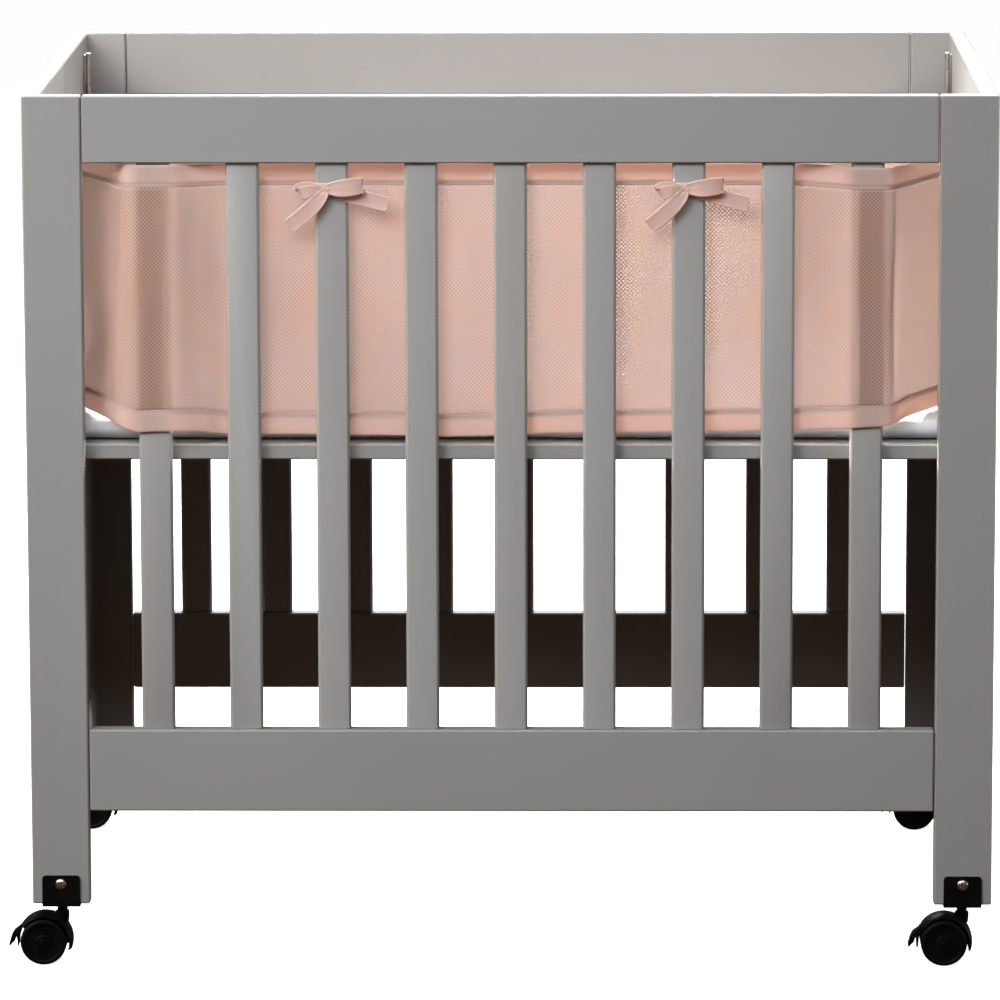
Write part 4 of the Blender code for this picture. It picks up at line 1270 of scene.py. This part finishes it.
def band(shape, places, aside):
    """The tape round the slat, whose middle is aside from the knot's."""
    half_x, corner = SLAT_HALF + 1.0 * MM, 2.0 * MM
    near = KNOT_STANDOFF - 1.0 * MM
    far = KNOT_STANDOFF + SLAT_THICKNESS + 1.0 * MM
    path = []
    for x, y, start in (
        (half_x - corner, far - corner, 0),
        (corner - half_x, far - corner, 90),
        (corner - half_x, near + corner, 180),
        (half_x - corner, near + corner, 270),
    ):
        for step in range(5):
            a = math.radians(start + 22.5 * step)
            path.append(Vector((aside + x + corner * math.cos(a), y + corner * math.sin(a), 0)))
        if start in (0, 180):
            side, y = (-1, far) if start == 0 else (1, near)
            for share in (-0.5, 0.0, 0.5):
                path.append(Vector((aside + side * share * (half_x - corner), y, 0)))
    looped(
        shape,
        places,
        path,
        lambda share: Vector((0.05 * math.sin(math.tau * share), 0, 1)).normalized(),
        lambda share: (6.4 + 0.3 * math.sin(math.tau * share * 3)) * MM,
        0.0,
    )


# %% [markdown]
# ## Bows on the slats
#
# Both front bows were tied by the same hands and look nearly alike, so one bow is made and set
# twice. The back ties are the same bow turned half round, so that a knot always faces away from
# the child. The tape is drawn lighter along its overlocked edges, by its UV map.
# %% Bows on the slats
def edged_tape(name):
    """Woven tape with pale overlocked edges. V runs from the middle of the tape."""
    made, tree, shader, place, colour = plain_weave(
        name, "#E0C2B7", "#E9D0C7", "#DDB4A4", 0.35, 1.0 * MM, 0.05 * MM, 0.62, 0.45
    )
    side = add_node(tree, "SeparateXYZ", {"Vector": place}).outputs["Y"]
    side = add_node(tree, "Math", {0: side}, operation="ABSOLUTE").outputs["Value"]
    fade = {"Value": side, "From Min": 7.2 * MM, "From Max": 7.6 * MM}
    edge = add_node(tree, "MapRange", fade, interpolation_type="SMOOTHSTEP").outputs["Result"]
    tones = {"Factor": edge, "A": colour, "B": linear("#FBF2EC")}
    mixed = add_node(tree, "Mix", tones, data_type="RGBA").outputs["Result"]
    tree.links.new(mixed, shader.inputs["Base Color"])
    return made


tape_cloth = edged_tape("woven_tape")
bows = []
for hand, number, aside in TIED_SLATS:
    for end, side in (("front", 1), ("back", -1)):
        shape, places = bmesh.new(), {}
        ribbon(shape, places, LEFT_LOOP, False)
        ribbon(shape, places, RIGHT_LOOP, False)
        ribbon(shape, places, RIGHT_TAIL, True)
        ribbon(shape, places, LEFT_TAIL, True)
        knot(shape, places)
        band(shape, places, aside)
        unwrapped(shape, places)
        x = number * SLAT_PITCH - side * aside + CENTRE_SHIFT
        y = side * (FRONT + SLAT_RECESS - KNOT_STANDOFF)
        turn = Matrix.Rotation(0 if side > 0 else math.pi, 4, "Z")
        place = Matrix.Translation((x, y, KNOT_HEIGHT)) @ turn
        bmesh.ops.transform(shape, matrix=place, verts=shape.verts)
        node = f"tie_{end}_{hand}"
        bows.append(piece(f"bow_{end}_{hand}", shape, tape_cloth, [node], 50.0, 0))
for item in bows + [top_binding, foot_binding]:
    finer = item.modifiers.new("finer", "SUBSURF")
    finer.levels = finer.render_levels = 1
print("bows", len(bows))

# %% [markdown]
# ## Pad
#
# The pad is thin foam in a fitted sheet. It lies flat on the board, and its top edge is full and
# round where the sheet is pulled over it. A cushion like this is made as a real one: a plain form,
# a little too small, is remeshed into even squares and blown up by a cloth simulation, its moves
# are capped, and what rests on the board is kept flat. The elastic's gathers at the corners and
# along the lower edge, which it also draws under the pad, come last, because the remesh would rub
# them out.
# %% Pad
PERCALE_PITCH = 1.2 * MM  # the threads are finer, but wouldn't show
PERCALE_CLOUD = 143 * MM


def percale():
    """White cotton percale, cool and matt, on Object coordinates."""
    made, tree, shader = start_material("white_percale", Roughness=0.85, Sheen_Weight=0.3)
    place = add_node(tree, "TexCoord").outputs["Object"]
    turns = (math.tau / PERCALE_PITCH,) * 3
    wound = add_node(tree, "VectorMath", {0: place, 1: turns}, operation="MULTIPLY")
    waves = add_node(tree, "VectorMath", {0: wound.outputs["Vector"]}, operation="SINE")
    parts = add_node(tree, "SeparateXYZ", {"Vector": waves.outputs["Vector"]})
    crossed = {0: parts.outputs["X"], 1: parts.outputs["Y"]}
    weave = add_node(tree, "Math", crossed, operation="ADD").outputs["Value"]
    slow = {"Vector": place, "Scale": 1 / PERCALE_CLOUD, "Detail": 3.0}
    cloud = add_node(tree, "TexNoise", slow).outputs["Fac"]
    toned(tree, shader.inputs["Base Color"], cloud, 0.3, 0.7, "#E3E7EC", "#EDEFF2")
    rumple = {0: cloud, 1: 24.0, 2: weave}
    rumple = add_node(tree, "Math", rumple, operation="MULTIPLY_ADD").outputs["Value"]
    bump = add_node(tree, "Bump", {"Height": rumple, "Strength": 0.3, "Distance": 0.08 * MM})
    tree.links.new(bump.outputs["Normal"], shader.inputs["Normal"])
    return made


PAD_START = 2.0 * MM  # how much smaller the form starts on each side
PAD_CAP = 3.4 * MM  # how far the pressure may move a point
PAD_CORNER, PAD_EDGE = 24 * MM, 8.5 * MM
VOXEL = 8 * MM
pad_low, pad_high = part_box("pad")
start = Vector((PAD_START, PAD_START, 0.0))
shape = bmesh.new()
add_box(shape, pad_low + start, pad_high - start - Vector((0, 0, PAD_START)))
upright = [e for e in shape.edges if abs(e.verts[0].co.z - e.verts[1].co.z) > PAD_EDGE]
bevel(shape, upright, PAD_CORNER, 6)
level = [e for e in shape.edges if abs(e.verts[0].co.z - e.verts[1].co.z) < MM]
bevel(shape, level, PAD_EDGE, 4)
mesh = bpy.data.meshes.new("pad_form")
bmesh.ops.recalc_face_normals(shape, faces=shape.faces)
shape.to_mesh(mesh)
shape.free()
form = bpy.data.objects.new("pad_form", mesh)
scene.collection.objects.link(form)
even = form.modifiers.new("even", "REMESH")
even.mode, even.voxel_size = "VOXEL", VOXEL
graph = bpy.context.evaluated_depsgraph_get()
squares = bpy.data.meshes.new_from_object(form.evaluated_get(graph))
bpy.data.objects.remove(form)
print("pad form", len(squares.vertices), "points")


# %% Blow the pad up
PRESSURE, BLOWN_FRAMES = 4.0, 20


def blown(mesh, cap):
    """Where the points of a closed mesh go under pressure, at most cap from where they were."""
    holder = bpy.data.objects.new("pad_cloth", mesh)
    scene.collection.objects.link(holder)
    cloth = holder.modifiers.new("cloth", "CLOTH")
    cloth.settings.use_pressure = True
    cloth.settings.uniform_pressure_force = PRESSURE
    cloth.settings.effector_weights.gravity = 0.0
    cloth.point_cache.frame_start, cloth.point_cache.frame_end = 1, BLOWN_FRAMES
    for number in range(1, BLOWN_FRAMES + 1):
        scene.frame_set(number)
    graph = bpy.context.evaluated_depsgraph_get()
    after = holder.evaluated_get(graph).to_mesh()
    moved = []
    for old, new in zip(mesh.vertices, after.vertices):
        step = new.co - old.co
        if step.length > cap:
            step *= cap / step.length
        moved.append(old.co + step)
    bpy.data.objects.remove(holder)
    scene.frame_set(1)
    return moved


for vert, place in zip(squares.vertices, blown(squares, PAD_CAP)):
    vert.co = place
shape = bmesh.new()
shape.from_mesh(squares)
bpy.data.meshes.remove(squares)
print("pad blown up")

# %% Lay the pad down
BOARD_TOP = pad_low.z
PAD_TOP = pad_high.z + 0.9 * MM
SKIRT, SKIRT_TALL = 12 * MM, 25 * MM
EDGE_GATHER, CORNER_GATHER, CORNER_REACH = 0.9 * MM, 1.1 * MM, 50 * MM
TUCK, TUCK_TALL, TUCK_LIFT, UNEVEN = 7.0 * MM, 16.0 * MM, 3.4 * MM, 1.2 * MM  # the elastic's pull
TUCK_WIDE, TUCK_FADE = 30 * MM, 20 * MM
TOP_SWELL, TOP_RUCK, RUCK_FROM_CORNER, RUCK_REACH = 0.5 * MM, 0.4 * MM, 100 * MM, 60 * MM
half_x, half_y = (pad_high.x - pad_low.x) / 2, (pad_high.y - pad_low.y) / 2
pad_middle = middle_of("pad")
for vert in shape.verts:
    off = vert.co - pad_middle
    near_x, near_y = half_x - abs(off.x), half_y - abs(off.y)
    edge = min(near_x, near_y)
    corner = math.hypot(max(near_x, 0.0), max(near_y, 0.0))
    low_part = min(max((0.5 - (vert.co.z - BOARD_TOP) / SKIRT_TALL) * 2, 0.0), 1.0)
    if edge < SKIRT:  # the gathers of the skirt, strongest at the corners
        along = off.x if near_y < near_x else off.y
        gather = noise.noise(Vector((along * 75, 3, 2))) * EDGE_GATHER * low_part
        strength = CORNER_GATHER * math.exp(-corner / CORNER_REACH)
        gather += noise.noise(Vector((along * 150, 9, 4))) * strength
        out = Vector((off.x / half_x, off.y / half_y, 0)).normalized()
        vert.co += out * gather
    tall = vert.co.z - BOARD_TOP
    if tall < TUCK_TALL and edge < TUCK_WIDE:  # the low edge, drawn inward and up
        share = (1 - tall / TUCK_TALL) ** 2 * min(max((TUCK_WIDE - edge) / TUCK_FADE, 0.0), 1.0)
        inward = Vector((-off.x if near_x < near_y else 0, -off.y if near_y <= near_x else 0, 0))
        vert.co += inward.normalized() * TUCK * share
        uneven = noise.noise(Vector((off.x * 22, off.y * 22, 8)))
        vert.co.z += (TUCK_LIFT + UNEVEN * uneven) * share
    if vert.co.z > BOARD_TOP + 20 * MM:  # the top, with small rucks near the corners
        vert.co.z += TOP_SWELL * noise.noise(Vector((off.x * 9, off.y * 9, 1)))
        near_ruck = math.exp(-(((corner - RUCK_FROM_CORNER) / RUCK_REACH) ** 2))
        ruck = noise.noise(Vector(((off.x - off.y) * 60, 4, 4)))
        vert.co.z += TOP_RUCK * ruck * near_ruck
    vert.co.z = min(max(vert.co.z, BOARD_TOP), PAD_TOP)
pad = piece("pad_in_sheet", shape, percale(), ["pad"], 180.0, merge=0)
finer = pad.modifiers.new("finer", "SUBSURF")
finer.levels = finer.render_levels = 1
print("pad top", round(max(v.co.z for v in pad.data.vertices), 4))

# %% [markdown]
# ## Size and finish
#
# The size of the visual model's box is printed.
# %% Size and finish
low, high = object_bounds()
print("visual box", [round(b - a, 4) for a, b in zip(low, high)])
